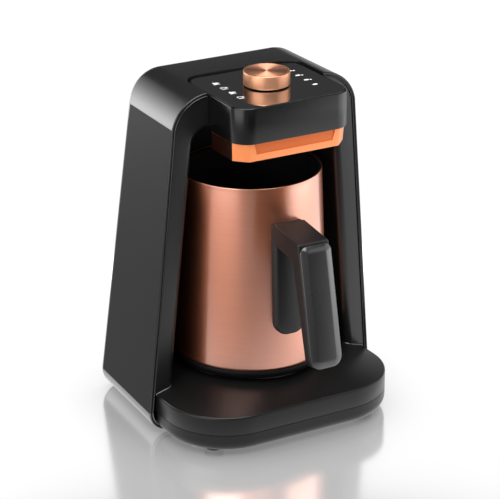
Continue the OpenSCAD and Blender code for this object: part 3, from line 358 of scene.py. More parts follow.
def copper(name, colour, rough, lines, round_face=False, anisotropic=0.0, coat=0.0):
    """Brushed copper: fine lines round the form, in colour, roughness and bump. Lines are per metre."""
    material, tree = new_material(name)
    shader = tree.nodes["Principled BSDF"]
    values = {"Metallic": 1.0, "Anisotropic": anisotropic, "Coat Weight": coat}
    values.update({"Coat Roughness": COPPER_COAT_ROUGH, "Coat IOR": COPPER_COAT_IOR})
    if anisotropic:
        values["Anisotropic Rotation"] = ACROSS_THE_RINGS
        tangent = add(tree, "Tangent", direction_type="RADIAL", axis="Z")
        tree.links.new(tangent.outputs["Tangent"], shader.inputs["Tangent"])
    set_inputs(shader, values)
    place = add(tree, "TexCoord").outputs["Object"]
    if round_face:
        flat = add(tree, "VectorMath", {0: place, 1: (1, 1, 0)}, operation="MULTIPLY").outputs[0]
        from_axis = add(tree, "VectorMath", {0: flat}, operation="LENGTH").outputs["Value"]
        rings = maths(tree, "MULTIPLY", from_axis, lines[0])
        spaced = add(tree, "CombineXYZ", {"X": rings}).outputs["Vector"]
    else:
        spaced = add(tree, "Mapping", {"Vector": place, "Scale": lines}).outputs["Vector"]
    brush = noise(tree, spaced, 1.0, 3.0)
    slow = noise(tree, place, 14.0)
    uneven = maths(tree, "MULTIPLY_ADD", brush, 0.5, maths(tree, "MULTIPLY", slow, 0.5))
    spread = (rough - 0.05, rough + 0.06)
    paint_grain(tree, (brush, uneven), colour, COPPER_SHADES, spread, (brush, BRUSH_BUMP, BRUSH_DEPTH))
    return material


pot_copper = copper("pot_copper", (0.63, 0.212, 0.108), 0.36, (25, 25, 2600), coat=1.0)
knob_copper = copper("knob_copper_side", (0.82, 0.40, 0.23), 0.42, (40, 40, 5000))
knob_face = copper(
    "knob_copper_face", (0.90, 0.44, 0.28), 0.56, (5200, 0, 0), round_face=True, anisotropic=0.80)


def dress(obj, material, body="machine", stands_for=()):
    """Gives a piece its material and the body that it rides on, and hides the nodes that it stands for."""
    obj.data.materials.clear()
    obj.data.materials.append(material)
    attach(obj, body)
    if stands_for:
        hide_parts(*stands_for)


# ---- outer shell ----
TAPER_FROM_X, TAPER_SPREAD = 25.0, 0.0019  # the spread is 1 / cos(PLAN_TAPER) - 1, rounded
EDGE_R, INNER_EDGE_R = 0.9, 0.7
SIDE_FACING, SIDE_SKIN, FOOT_FACING = 0.985, 8, 0.03
CREASE_ANGLE = 4.6
FINE_EDGE = (0.3, 2, 50)
SLOT_FRONT, SLOT_TOP = -90, 300  # past the arch


def faced_arc(x, z, r, start, end, n, first=1):
    """Points on a rounding and the directions that they face: (x, z, normal x, normal z)."""
    points = []
    for i in range(first, n + 1):
        a = start + (end - start) * i / n
        points.append((x + r * cos(a), z + r * sin(a), cos(a), sin(a)))
    return points


def side_path(crease_z, leg_steps=22, side_steps=12):
    """From the arch's lip round the leg and up its side to the crease, each point with its direction."""
    z2 = SHELL_FLOOR + LEG_R
    x2 = half_w(z2) - LEG_R / cos(LEAN)
    path = [(LIP_X, SHELL_FLOOR, 0.0, -1.0), (x2 - 1.0, SHELL_FLOOR, 0.0, -1.0)]
    path += faced_arc(x2, z2, LEG_R, -RIGHT_ANGLE, LEAN, leg_steps, first=0)
    _, leg_top, nx, nz = path[-1]
    for i in range(1, side_steps + 1):
        z = leg_top + (crease_z - leg_top) * i / side_steps
        path.append((half_w(z), z, nx, nz))
    return path


def over_the_top(x1):
    return [(x1 * t, BODY_H, 0.0, 1.0) for t in (0.85, 0.7, 0.5, 0.3, 0.1)]


def front_corner():
    """The front's wide corner: its centre, and the angle at which it leaves the flat side."""
    z1 = BODY_H - FRONT_R
    start = asin((CREASE_FRONT - z1) / FRONT_R)
    return half_w(CREASE_FRONT) - FRONT_R * cos(start), z1, start


def front_path(steps=24):
    """Half outline at the arch's front: a wide corner that meets the flat side at a crease."""
    x1, z1, start = front_corner()
    corner = faced_arc(x1, z1, FRONT_R, start, RIGHT_ANGLE, steps)
    return side_path(CREASE_FRONT) + corner + over_the_top(x1)


def rear_path(steps=24, facet_steps=3):
    """Half outline at the arch's rear: a short facet above the crease, then a tighter corner."""
    z1 = BODY_H - REAR_R
    facet_z = z1 + REAR_R * sin(REAR_FACET)
    facet_x = half_w(CREASE_REAR) - (facet_z - CREASE_REAR) * tan(REAR_FACET)
    x1 = facet_x - REAR_R * cos(REAR_FACET)
    corner = []
    for i in range(1, facet_steps + 1):
        t = i / facet_steps
        x = half_w(CREASE_REAR) + (facet_x - half_w(CREASE_REAR)) * t
        z = CREASE_REAR + (facet_z - CREASE_REAR) * t
        corner.append((x, z, cos(REAR_FACET), sin(REAR_FACET)))
    corner += faced_arc(x1, z1, REAR_R, REAR_FACET, RIGHT_ANGLE, steps - facet_steps)
    return side_path(CREASE_REAR) + corner + over_the_top(x1)


def tapered(x, y):
    """The arch narrows towards the rear; near its middle it doesn't."""
    share = min(1.0, abs(x) / TAPER_FROM_X)
    turned_in = y * tan(PLAN_TAPER) - abs(x) * TAPER_SPREAD
    return copysign(max(0.0, abs(x) - turned_in * share), x) if x else 0.0


def both_sides(path):
    return path + [(-x, z, -nx, nz) for x, z, nx, nz in reversed(path)]


def at_edge(point, inset, edge_y, back):
    """A point of the arch's outline, drawn in, behind the arch's front or rear edge."""
    x, z, nx, nz = point
    px, pz = x - nx * inset, z - nz * inset
    py = edge_y(pz) + back
    return (tapered(px, py), py, pz)


def runs_long(edge, shortest=0.02):
    """Whether an edge runs a good way towards the rear."""
    run = edge.verts[1].co - edge.verts[0].co
    return abs(run.y) > 0.9 * run.length and run.length > shortest


def build_shell():
    front_section = [(EDGE_R * inset, EDGE_R * back) for inset, back in rounding(0, 22, 45, 68, 90)]
    for inset, back in reversed(rounding(0, 45, 90)):
        front_section.append((SHELL_WALL - INNER_EDGE_R * (1 - back), INNER_EDGE_R * inset))
    rear_section = [(SHELL_WALL, 0.0), (0.5, 0.0), (0.0, -0.5)]
    rings = []
    for front, rear in zip(both_sides(front_path()), both_sides(rear_path())):
        ring = [at_edge(front, inset, front_y, back) for inset, back in front_section]
        rings.append(ring + [at_edge(rear, inset, rear_y, back) for inset, back in rear_section])
    shell = loft("arch_shell", rings)
    hw, back = HEAD_HW + POCKET_GAP, HEAD_BACK + POCKET_GAP
    slot = rounded_outline(hw, SLOT_FRONT, back, HEAD_R, HEAD_R + POCKET_GAP, (14, 14), first=2)
    boolean(shell, prism("slot", slot, "z", NECK_Z, SLOT_TOP))
    edited(shell, lambda bm: bmesh.ops.remove_doubles(bm, verts=bm.verts, dist=1e-6))
    crisp(shell, CREASE_ANGLE, runs_long)
    round_edges(shell, *FINE_EDGE)
    dress(shell, shell_paint, stands_for=["outer_shell"])
    shell.data.materials.append(side_paint)
    shell.data.materials.append(foot_paint)
    # the flat sides are matt, and the wrapped feet shine
    for face in shell.data.polygons:
        c, n = face.center / MM, face.normal
        crease = CREASE_FRONT + (CREASE_REAR - CREASE_FRONT) * c.y / ARCH_DEPTH
        if n.z < FOOT_FACING and c.z < SHELL_FLOOR + LEG_R:
            face.material_index = 2
        elif abs(n.x) > SIDE_FACING and c.z < crease and abs(c.x) > half_w(c.z) - SIDE_SKIN:
            face.material_index = 1


build_shell()


# ---- front bezel ----
BEZEL_FOOT, ALCOVE_FOOT = 27.6, 31.0
BEZEL_FILLET, BEZEL_GAP = 5.2, 0.12
DOME_GAP, DOME_REACH, CHEEK_FOOT_TOP = 0.25, 3.5, 33.0


def outline_pair(inset, side_steps=16, corner_steps=24):
    """Right half of the bezel: matching points on its outer edge and on the alcove's edge, as (x, z)."""
    x1, z1, start = front_corner()
    r = FRONT_R - inset
    za = ALCOVE_TOP - ALCOVE_R
    xa = half_w(za) - CHEEK_W - ALCOVE_R / cos(LEAN)
    outer_top, inner_top = z1 + r * sin(start), za + ALCOVE_R * sin(LEAN)
    outer, inner = [], []
    for i in range(side_steps):
        t = i / side_steps
        zo, zi = BEZEL_FOOT + (outer_top - BEZEL_FOOT) * t, ALCOVE_FOOT + (inner_top - ALCOVE_FOOT) * t
        outer.append((half_w(zo) - inset / cos(LEAN), zo))
        inner.append((half_w(zi) - CHEEK_W, zi))
    for i in range(corner_steps + 1):
        a = start + (RIGHT_ANGLE - start) * i / corner_steps
        b = LEAN + (RIGHT_ANGLE - LEAN) * i / corner_steps
        outer.append((x1 + r * cos(a), z1 + r * sin(a)))
        inner.append((xa + ALCOVE_R * cos(b), za + ALCOVE_R * sin(b)))
    for t in (0.75, 0.5, 0.25, 0.0):
        outer.append((x1 * t, BODY_H - inset))
        inner.append((xa * t, ALCOVE_TOP))
    return outer, inner


def full_outline(half):
    return [(-x, z) for x, z in half[:-1]] + half[::-1]


def build_bezel():
    outer, inner = outline_pair(SHELL_WALL + BEZEL_GAP)
    rear = BEZEL_DEPTH - BEZEL_BACK + 0.2
    rings = []
    for (ox, oz), (ix, iz) in zip(full_outline(outer), full_outline(inner)):
        reach = hypot(ix - ox, iz - oz)
        flat = reach - BEZEL_FILLET
        section = [(0.0, 14.0), (0.0, 0.5), (0.12, 0.15), (0.45, 0.0), (flat * 0.5, 0.0), (flat, 0.0)]
        for across, down in rounding(*FINE):
            section.append((flat + BEZEL_FILLET * (1 - down), BEZEL_FILLET * across))
        section += [(reach, rear), (reach - 2.0, rear)]
        ring = []
        for distance, back in section:
            t = distance / reach
            x, z = ox + (ix - ox) * t, oz + (iz - oz) * t
            y = front_y(z) + BEZEL_BACK + back
            if distance < 1.0:
                x = tapered(x, y)
            ring.append((x, y, z))
        rings.append(ring)
    bezel = loft("front_bezel_cheeks", rings)
    # the cheeks stand just clear of the tray's dome
    per_ring = len(rings[0])
    for v in bezel.data.vertices:
        x, y, z = (c / MM for c in v.co)
        floor_z = dome_height(x, y) + DOME_GAP
        at_foot = v.index // per_ring in (0, len(rings) - 1)
        if z < floor_z + 0.001 or (at_foot and z < CHEEK_FOOT_TOP and abs(z - floor_z) < DOME_REACH):
            v.co.z = floor_z * MM
    round_edges(bezel, *FINE_EDGE)
    dress(bezel, cheek_paint, stands_for=["front_bezel"])


# ---- tray ----
POT_SLOPE = (POT_R0 - POT_R1) / (POT_Z1 - POT_Z0)
TRAY_REAR = POT_Y + POT_R0 - POT_SLOPE * (TRAY_TOP - POT_Z0) + BACK_ROOM - TRAY_GAP
TRAY_MID = (TRAY_FRONT + TRAY_REAR) / 2
TRAY_REAR_HW = half_w(TRAY_TOP) - SHELL_WALL - TRAY_REAR * tan(PLAN_TAPER) - TRAY_SIDE_GAP
TRAY_EDGE_R, HOLE_LOW, HOLE_GAP = 1.6, 31.0, 0.15
SEAM_EDGE, SEAM_GAP, SEAM_SOFT, SEAM_IN = 0.4, 0.22, 0.15, 2.4
DOME_SHARES = (0.008, 0.08, 0.16, 0.25, 0.35, 0.45, 0.55, 0.65, 0.74, 0.82, 0.89, 0.95, 1.0)


def mirrored(points):
    return [(-x, y) for x, y in reversed(points)]


def tray_outline(d, n=40):
    """The tray's plan, drawn in by d, from its left side round the front and the rear."""
    r, rear_r = TRAY_R - d, TRAY_REAR_R - d
    front = arc(TRAY_HW - TRAY_R, TRAY_FRONT + TRAY_R, r, 270, 360, n) + [(TRAY_HW - d, 0.0)]
    middle = [((TRAY_HW - TRAY_R) * t, TRAY_FRONT + d) for t in (-0.6, -0.2, 0.2, 0.6)]
    rear = []
    for t in (0.25, 0.5, 0.75):
        rear.append((TRAY_HW - d + (TRAY_REAR_HW - TRAY_HW) * t, (TRAY_REAR - TRAY_REAR_R) * t))
    rear += arc(TRAY_REAR_HW - TRAY_REAR_R, TRAY_REAR - TRAY_REAR_R, rear_r, 0, 90, 10)
    back = [((TRAY_REAR_HW - TRAY_REAR_R) * t, TRAY_REAR - d) for t in (0.5, 0.0, -0.5)]
    return mirrored(front) + middle + front + rear + back + mirrored(rear)


def edge_by_angle():
    """The tray's edge as seen from its middle: angles in rising order, and the distance at each."""
    edge = np.array(tray_outline(0.0))
    angles = np.arctan2(edge[:, 1] - TRAY_MID, edge[:, 0])
    radii = np.hypot(edge[:, 0], edge[:, 1] - TRAY_MID)
    order = np.argsort(angles)
    return angles[order], radii[order]


EDGE_ANGLES, EDGE_RADII = edge_by_angle()


def dome_height(x, y):
    """The height of the tray's top, which falls from its middle to its edge."""
    a = atan2(y - TRAY_MID, x)
    edge = float(np.interp(a, EDGE_ANGLES, EDGE_RADII, period=2 * pi))
    share = min(1.0, hypot(x, y - TRAY_MID) / edge)
    return TRAY_TOP + DOME_H * (1 - share * share)


def build_tray():
    rim = tray_outline(TRAY_EDGE_R)
    hole_r = WELL_R + HOLE_GAP
    spokes = []
    for x, y in rim:
        length = hypot(x, y - POT_Y)
        spokes.append((x / length, (y - POT_Y) / length, length))

    def ring_at(share):
        ring = []
        for ux, uy, length in spokes:
            d = hole_r + (length - hole_r) * share
            x, y = ux * d, POT_Y + uy * d
            ring.append((x, y, dome_height(x, y)))
        return ring

    hole = ring_at(0.0)
    rings = [[(x, y, HOLE_LOW) for x, y, _ in hole], [(x, y, z - 0.5) for x, y, z in hole]]
    rings += [ring_at(share) for share in DOME_SHARES]
    for across, down in rounding(*FINE):
        outline = tray_outline(TRAY_EDGE_R * down)
        drop = TRAY_EDGE_R * across
        rings.append([(x, y, dome_height(*rim[i]) - drop) for i, (x, y) in enumerate(outline)])
    seam = ((0.0, SEAM_Z + SEAM_EDGE), (SEAM_SOFT, SEAM_Z + SEAM_GAP), (SEAM_IN, SEAM_Z + SEAM_GAP))
    rings += [at_z(tray_outline(inset), z) for inset, z in (*seam, (SEAM_IN, TRAY_TOP - 3.5))]
    tray = loft("domed_tray", rings, cap_first=False, cap_last=False)
    crisp(tray, 50)
    dress(tray, base_paint, stands_for=["base_tray"])


build_bezel()
build_tray()


def build_foot_bead(side, name, foot_z=29.5, radius=0.75, around=10):
    """A small rolled lip where a cheek stands on the tray, from the arch's edge into the alcove."""
    outer_x = half_w(foot_z) - SHELL_WALL - INNER_EDGE_R
    flat_x = half_w(foot_z) - CHEEK_W + BEZEL_FILLET
    y = front_y(foot_z) + BEZEL_BACK - 0.2
    path = [(outer_x + (flat_x - outer_x) * i / 6, y) for i in range(6)]
    for across, down in rounding(*range(0, 91, 10)):
        path.append((flat_x - (BEZEL_FILLET + 0.2) * (1 - down), y + BEZEL_FILLET * across))
    rings = []
    for i, (px, py) in enumerate(path):
        ax, ay = path[max(0, i - 1)]
        bx, by = path[min(len(path) - 1, i + 1)]
        length = hypot(bx - ax, by - ay)
        nx, ny = -(by - ay) / length, (bx - ax) / length
        pz = dome_height(px, py) + 0.3
        ring = []
        for k in range(around):
            turn = 2 * pi * k / around
            out, up = radius * cos(turn), radius * sin(turn)
            ring.append((side * (px + nx * out), py + ny * out, pz + up))
        rings.append(ring)
    dress(loft(name, rings), grip_cover_paint)


build_foot_bead(-1, "foot_bead_left")
build_foot_bead(1, "foot_bead_right")


# ---- head ----
def head_outline(inset, z):
    r = HEAD_R - inset
    front, back = HEAD_FRONT + inset, HEAD_BACK - inset
    return at_z(rounded_outline(HEAD_HW - inset, front, back, r, r, (16, 16), first=2), z)


def build_head(edge=0.9):
    levels = [(0.8, HEAD_Z), (0.25, HEAD_Z + 0.2), (0.0, HEAD_Z + 0.7), (0.0, HEAD_TOP - edge)]
    levels += [(edge * across, HEAD_TOP - edge * down) for across, down in rounding(20, 40, 60, 80, 90)]
    levels += [(GLASS_RIM - 0.05, HEAD_TOP - 0.02), (GLASS_RIM, HEAD_TOP - 0.25)]
    levels.append((GLASS_RIM, HEAD_TOP - GLASS_T))
    head = loft("head_shell", [head_outline(inset, z) for inset, z in levels])
    back = [(-60, NECK_FRONT), (60, NECK_FRONT), (60, 60), (-60, 60)]
    boolean(head, prism("cutter", back, "z", 150, NECK_Z))
    crisp(head, 40)
    dress(head, head_paint, stands_for=["head_housing", "head_frame"])


def build_glass():
    levels = [(0.05, GLASS_T), (0.05, 0.2), (0.12, 0.06), (0.3, 0.0)]
    rings = [head_outline(GLASS_RIM + inset, HEAD_TOP - down) for inset, down in levels]
    glass = crisp(loft("control_glass", rings), 15)
    dress(glass, panel_glass, stands_for=["glass_panel"])


MARK_X, MARK_Y, MARK_PITCH = 27.5, -20.1, 10.7
CUP = ((-1.7, 1.5), (-1.35, -0.9), (-0.8, -1.4), (0.8, -1.4), (1.35, -0.9), (1.7, 1.5))
CUP_HANDLE = ((1.6, 0.9), (2.7, 0.8), (2.6, -0.1), (1.5, -0.4))
SAUCER = ((-2.3, -2.1), (2.3, -2.1))
STEAM = ((-0.5, 2.0), (-0.3, 2.9))
CUP_LINE, HANDLE_LINE, STEAM_LINE, MARK_LIFT = 0.42, 0.38, 0.32, 0.05


def build_marks():
    """Plain cups down the left side, plain ovals and dots down the right."""
    verts, faces = [], []
    z = HEAD_TOP + MARK_LIFT

    def add_poly(points):
        start = len(verts)
        verts.extend([(x, y, z) for x, y in points])
        faces.append(tuple(range(start, start + len(points))))

    def stroke(points, width):
        for (x0, y0), (x1, y1) in zip(points, points[1:]):
            dx, dy = x1 - x0, y1 - y0
            length = hypot(dx, dy)
            ox, oy = -dy / length * width / 2, dx / length * width / 2
            add_poly([(x0 + ox, y0 + oy), (x0 - ox, y0 - oy), (x1 - ox, y1 - oy), (x1 + ox, y1 + oy)])

    def oval(x, y, wide, deep, n):
        turns = [2 * pi * i / n for i in range(n)]
        add_poly([(x + wide * cos(a), y + deep * sin(a)) for a in turns])

    for i in range(4):
        y = MARK_Y + MARK_PITCH * i
        cup, handle, saucer, steam = (
            [(x - MARK_X, y + up) for x, up in shape] for shape in (CUP, CUP_HANDLE, SAUCER, STEAM))
        if i % 2:
            add_poly(cup)
        else:
            stroke(cup + [cup[0]], CUP_LINE)
        stroke(handle, HANDLE_LINE)
        stroke(saucer, CUP_LINE)
        stroke(steam, STEAM_LINE)
        oval(MARK_X - 0.4, y, 1.9, 1.1, 18)
        if i > 0:
            oval(MARK_X + 2.3, y - 0.9, 0.8, 0.8, 14)
    marks = make("panel_symbols", verts, faces, smooth=False)
    dress(marks, mark_white, stands_for=["panel_marks"])


build_head()
build_glass()
build_marks()


# ---- light band under the head ----
RECESS_DEPTH, RECESS_SLANT, RECESS_LEAN, RECESS_FOOT = 0.9, 1.6, 2.4, 4.4
BAND_LEAN, SHADED_SIDE_FACING = 0.06, 0.9
CUT_SHARE = 0.586  # 2 - sqrt(2): the cut corner then goes in as far as the sides


def band_ring(z, inset=0.0, soft=0.8):
    """Plan of the band with straight-cut front corners, each corner slightly rounded."""
    t = (HEAD_Z - z) / (HEAD_Z - TRIM_Z)
    hw = TRIM_HW - TRIM_TAPER * t - inset
    y0 = TRIM_FRONT + inset + (HEAD_Z - z) * BAND_LEAN
    y1 = TRIM_REAR - inset
    cut = TRIM_CUT - CUT_SHARE * inset
    corners = [(-hw, y1), (-hw, y0 + cut), (cut - hw, y0), (hw - cut, y0), (hw, y0 + cut), (hw, y1)]
    points = []
    for k, corner in enumerate(corners):
        before, after = corners[k - 1], corners[(k + 1) % len(corners)]
        points += bend(toward(corner, before, soft), corner, toward(corner, after, soft), 4)
    return at_z(points, z)


def build_band():
    rings = [band_ring(HEAD_Z - 0.1, 2.5), band_ring(HEAD_Z - 0.1), band_ring(TRIM_Z + 0.9)]
    rings += [band_ring(TRIM_Z + 0.25, 0.22), band_ring(TRIM_Z, 0.8), band_ring(TRIM_Z, 2.4)]
    rings.append(band_ring(TRIM_Z + 3, 2.5))
    band = loft("orange_band", rings, cap_first=False, cap_last=False)
    band.data.materials.append(band_orange)
    band.data.materials.append(band_side_shade)
    # faces turned to the sides take the painted shade
    for face in band.data.polygons:
        if abs(face.normal.x) > SHADED_SIDE_FACING:
            face.material_index = 1
    bottom, top = TRIM_Z + RECESS_FOOT, HEAD_Z + 2
    mouth = (-60, RECESS_HW + RECESS_SLANT, bottom - 0.4)
    floor = (TRIM_FRONT + RECESS_DEPTH, RECESS_HW - RECESS_SLANT, bottom + 0.5)
    verts = []
    for y, reach, low in (mouth, floor):
        foot = reach - RECESS_LEAN
        verts += [(-foot, y, low), (foot, y, low), (reach, y, top), (-reach, y, top)]
    sides = [(0, 1, 2, 3), (7, 6, 5, 4), (0, 4, 5, 1), (1, 5, 6, 2), (2, 6, 7, 3), (3, 7, 4, 0)]
    tool = outward(make("recess", verts, sides, smooth=False))
    tool.data.materials.append(band_recess)
    boolean(band, tool)
    crisp(band, 20)
    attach(band, "machine")
    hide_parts("light_band")


build_band()


# ---- knob ----
def lathe(name, profile, centre_y, steps):
    """Profile of (radius, z) turned about a vertical axis; points at radius 0 become one vertex."""
    verts, faces, rows = [], [], []
    for r, z in profile:
        if r < 1e-6:
            rows.append([len(verts)])
            verts.append((0.0, centre_y, z))
        else:
            rows.append(list(range(len(verts), len(verts) + steps)))
            for i in range(steps):
                a = 2 * pi * i / steps
                verts.append((r * cos(a), centre_y + r * sin(a), z))
    for low, high in zip(rows, rows[1:]):
        for i in range(steps):
            j = (i + 1) % steps
            if len(low) == 1:
                faces.append((low[0], high[i], high[j]))
            elif len(high) == 1:
                faces.append((low[i], low[j], high[0]))
            else:
                faces.append((low[i], low[j], high[j], high[i]))
    return outward(make(name, verts, faces))


def build_knob(edge=0.7):
    r, top = KNOB_R, KNOB_TOP
    side = [(r - 1.2, KNOB_Z + 1.0), (r - 1.1, KNOB_Z), (r - 0.35, KNOB_Z), (r - 0.08, KNOB_Z + 0.12)]
    side += [(r, KNOB_Z + 0.4), (r, top - 0.75)]
    side += [(r - edge * across, top - edge * down) for across, down in rounding(20, 40, 60, 80)]
    side += [(r - 0.9, top), (r - 1.25, top - 0.03)]
    skirt = lathe("knob_ring", side, KNOB_Y, 128)
    dress(skirt, knob_copper, "knob", ["knob_cap"])
    dish = [(r - 1.25, 0.03), (r - 1.6, 0.22), (r - 2.2, 0.25), (10, 0.27), (6, 0.29)]
    dish += [(2, 0.3), (0.4, 0.3), (0, 0.3)]
    disc = lathe("knob_disc", [(a, top - drop) for a, drop in dish], 0.0, 128)
    disc.location = (0, KNOB_Y * MM, 0)
    dress(disc, knob_face, "knob")
    inside = [(r - 1.2, KNOB_Z + 1.0), (r - 1.2, KNOB_Z + 0.3), (3.2, KNOB_Z + 0.3)]
    core = lathe("knob_inner", inside, KNOB_Y, 64)
    dress(core, black_plastic, "knob")


build_knob()


# ---- pot ----
LIFT, SPOUT_OUT, SPOUT_H, SPOUT_WIDE, SPOUT_FOLD = 2.0, 4.6, 30.0, 27.0, 9.0
FOLD_SHARE, ROUND_BELOW_R = 0.25, 5
POT_WALL, POT_INNER_FLOOR = 1.7, 1.7


def spout_shape(angle, z):
    """How far the wall is pushed out, and the rim lifted, at an angle from +X and a height."""
    away = abs(angle % 360 - 180)
    side = max(0.0, 1 - away / SPOUT_WIDE)
    side = side * side * (3 - 2 * side)
    side = (1 - FOLD_SHARE) * side + FOLD_SHARE * max(0.0, 1 - away / SPOUT_FOLD)
    rise = max(0.0, (z - (POT_Z1 - SPOUT_H)) / SPOUT_H)
    return SPOUT_OUT * side * rise ** 2.2, LIFT * side * rise ** 3


def pot_skin(name, profile, closed_below=False, steps=240):
    """Profile of (radius, z) turned about the pot's axis, with the spout drawn out of it."""
    rings = []
    for r, z in profile:
        ring = []
        for i in range(steps):
            a = 360 * i / steps
            push, lift = spout_shape(a, z) if r > ROUND_BELOW_R else (0.0, 0.0)
            x, y = (r + push) * cos(radians(a)), (r + push) * sin(radians(a))
            ring.append((x, POT_Y + y, z + lift))
        rings.append(ring)
    return loft(name, rings, cap_first=False, cap_last=closed_below)


def build_pot():
    spout_z, top = POT_Z1 - SPOUT_H, pot_r(POT_Z1)
    heights = np.linspace(POT_Z0 + 2.0, spout_z, 14).tolist()
    heights += np.linspace(spout_z + 2, POT_Z1 - 0.8, 16).tolist()
    foot = [(3.0, 0.02), (1.0, 0.05), (0.35, 0.35), (0.05, 1.0)]
    rim = [(-0.05, 0.35), (0.1, 0.1), (0.4, 0.0), (0.8, 0.1), (1.0, 0.5)]
    outer = [(POT_R0 - inset, POT_Z0 + up) for inset, up in foot]
    outer += [(pot_r(z), z) for z in heights]
    outer += [(top - inset, POT_Z1 - down) for inset, down in rim]
    dress(pot_skin("copper_pot", outer), pot_copper, "pot", ["pot_body"])
    inner = [(top - 1.0, POT_Z1 - 0.45), (top - POT_WALL, POT_Z1 - 1.0)]
    inner += [(pot_r(z) - POT_WALL, z) for z in reversed(heights)]
    inner += [(POT_R0 - 2.5, POT_Z0 + 3.0), (POT_R0 - 4.5, POT_Z0 + 1.9)]
    inner += [(r, POT_Z0 + POT_INNER_FLOOR) for r in (POT_R0 - 8, 20, 4)]
    dress(pot_skin("pot_inside", inner, True), pot_dark, "pot", ["pot_lining"])
    ring = [(11.3, 5.9), (2.9, 6.0), (2.1, 5.8), (1.7, 5.2), (0.4, 3.1)]
    ring += [(0.2, 2.3), (0.15, 0.6), (0.4, 0.15), (1.8, 0.02)]
    ring = [(POT_R0 - inset, POT_Z0 - down) for inset, down in ring]
    foot_ring = lathe("pot_foot_ring", ring, POT_Y, 160)
    # the ring takes its black deepened with painted shade
    dress(foot_ring, foot_black_and_shade, "pot", ["pot_base_ring"])


build_pot()


# ---- handle ----
GRIP_LOW_R, GRIP_HIGH_R = 7.0, 5.0
ARM_Z = GRIP_Z + GRIP_LEN * cos(GRIP_LEAN) + 0.3
TOP_BACK = (ARM_Z - GRIP_Z) * tan(GRIP_LEAN)
ARM_RISE, ARM_BEND, COVER_GAP = 0.125, 7.5, 0.12
PAD_EDGE_R, PAD_LOW_R, PAD_HIGH_R = 2.6, 9.0, 3.0


def arm_top(y):
    """The height of the arm's top, which rises from the grip to the pot."""
    return ARM_Z + ARM_RISE * (y + GRIP_REACH - TOP_BACK - 1)


def grip_point(x, depth, up):
    """From the grip's own frame (across, in from its front, up along it) to the machine's."""
    c, s = cos(GRIP_LEAN), sin(GRIP_LEAN)
    return (x, -GRIP_REACH + depth * c + up * s, GRIP_Z - depth * s + up * c)


def grip_outline(inset, length):
    low_r, high_r = max(0.4, GRIP_LOW_R - inset), max(0.4, GRIP_HIGH_R - inset)
    return rounded_outline(GRIP_HW - inset, inset, length - inset, low_r, high_r, (8, 8))


def build_grip_cover():
    steps = [(0.35, COVER_T), (0.0, COVER_T - 0.35), (0.0, 1.75), (0.25, 1.42)]
    steps += [(3.7, 0.25), (4.3, 0.06), (4.9, 0.0)]
    rings = []
    for inset, depth in steps:
        rings.append([grip_point(x, depth, up) for x, up in grip_outline(inset, GRIP_LEN)])
    cover = crisp(loft("grip_front", rings), 60)
    dress(cover, grip_cover_paint, "pot", ["handle_cover"])


def meets_arm(y0, z0, y1, z1):
    """Where the grip's front line, from (y0, z0) up to (y1, z1), meets the arm's top."""
    t = (arm_top(y0) - z0) / (z1 - z0 - ARM_RISE * (y1 - y0))
    return (y0 + (y1 - y0) * t, z0 + (z1 - z0) * t)


def build_handle():
    behind_cover = COVER_T + COVER_GAP
    y_grip = -GRIP_REACH + TOP_BACK + 9.6
    _, fy0, fz0 = grip_point(0, behind_cover, -3)
    _, fy1, fz1 = grip_point(0, behind_cover, GRIP_LEN + 8)
    pot_front = POT_Y - POT_R1
    # inner corner between the grip's rear and the arm's underside
    rear = (-GRIP_REACH + GRIP_T + 0.4, GRIP_Z + 2)
    corner = (y_grip + 1.2, arm_top(y_grip) - ARM_T + 0.3)
    far = (pot_front, arm_top(pot_front) - ARM_T - 0.6)
    profile = [(fy0, fz0), (-GRIP_REACH + GRIP_T - 0.3, GRIP_Z - 3)]
    profile += bend(toward(corner, rear, ARM_BEND), corner, toward(corner, far, ARM_BEND))
    profile += [far, (pot_front, arm_top(pot_front)), meets_arm(fy0, fz0, fy1, fz1)]
    body = prism("handle_arm", profile, "x", -GRIP_HW, GRIP_HW)
    # its sides take the grip's outline, and its end the pad's curve: both tools reach past it
    outline = grip_outline(0.0, GRIP_LEN + 30)
    keep = loft("keep", [[grip_point(x, depth, up) for x, up in outline] for depth in (-20, 95)])
    boolean(body, keep, "INTERSECT")
    inner, below, above = PAD_T - 1.5, 20, 220
    sleeve = [(0, below), (pot_r(below) + inner, below), (pot_r(above) + inner, above), (0, above)]
    boolean(body, lathe("sleeve", sleeve, POT_Y, 160))
    round_edges(body, 1.5, 4, 30)
    dress(body, grip_paint, "pot", ["handle_body"])


def build_pad():
    low, high = GRIP_Z + 6, arm_top(-GRIP_REACH + 50) - 0.2

    def ring(inset, off):
        """The pad's outline, drawn in, laid on the pot at a distance from it."""
        r_low, r_high = max(0.5, PAD_LOW_R - inset), max(0.5, PAD_HIGH_R - inset)
        hw = GRIP_HW + 0.15 - inset
        points = rounded_outline(hw, low + inset, high - inset, r_low, r_high, (10, 6))
        return [(x, POT_Y - sqrt((pot_r(z) + off) ** 2 - x * x), z) for x, z in points]

    rings = [ring(0.0, -0.3), ring(0.0, PAD_T - PAD_EDGE_R)]
    for across, down in rounding(*FINE):
        rings.append(ring(PAD_EDGE_R * across, PAD_T - PAD_EDGE_R * down))
    rings += [ring(inset, PAD_T) for inset in (4.0, 6.0, 8.0, 10.4)]
    pad = crisp(loft("handle_mount", rings, cap_first=False), 60)
    dress(pad, grip_paint, "pot", ["handle_pad"])


build_grip_cover()
build_handle()
build_pad()


# ---- rear cover ----
VENTS, VENT_Z, VENT_PITCH, VENT_X, VENT_HW, VENT_R = 7, 101.2, 7, 24, 12.8, 1.2
INLET_X, INLET_Z, INLET_R = -50, 12, 6.1
SCREW_R, SCREW_DEPTH, SCREW_IN = 3.2, 1.2, 4
TOOL_FRONT, TOOL_REAR = 40, 120


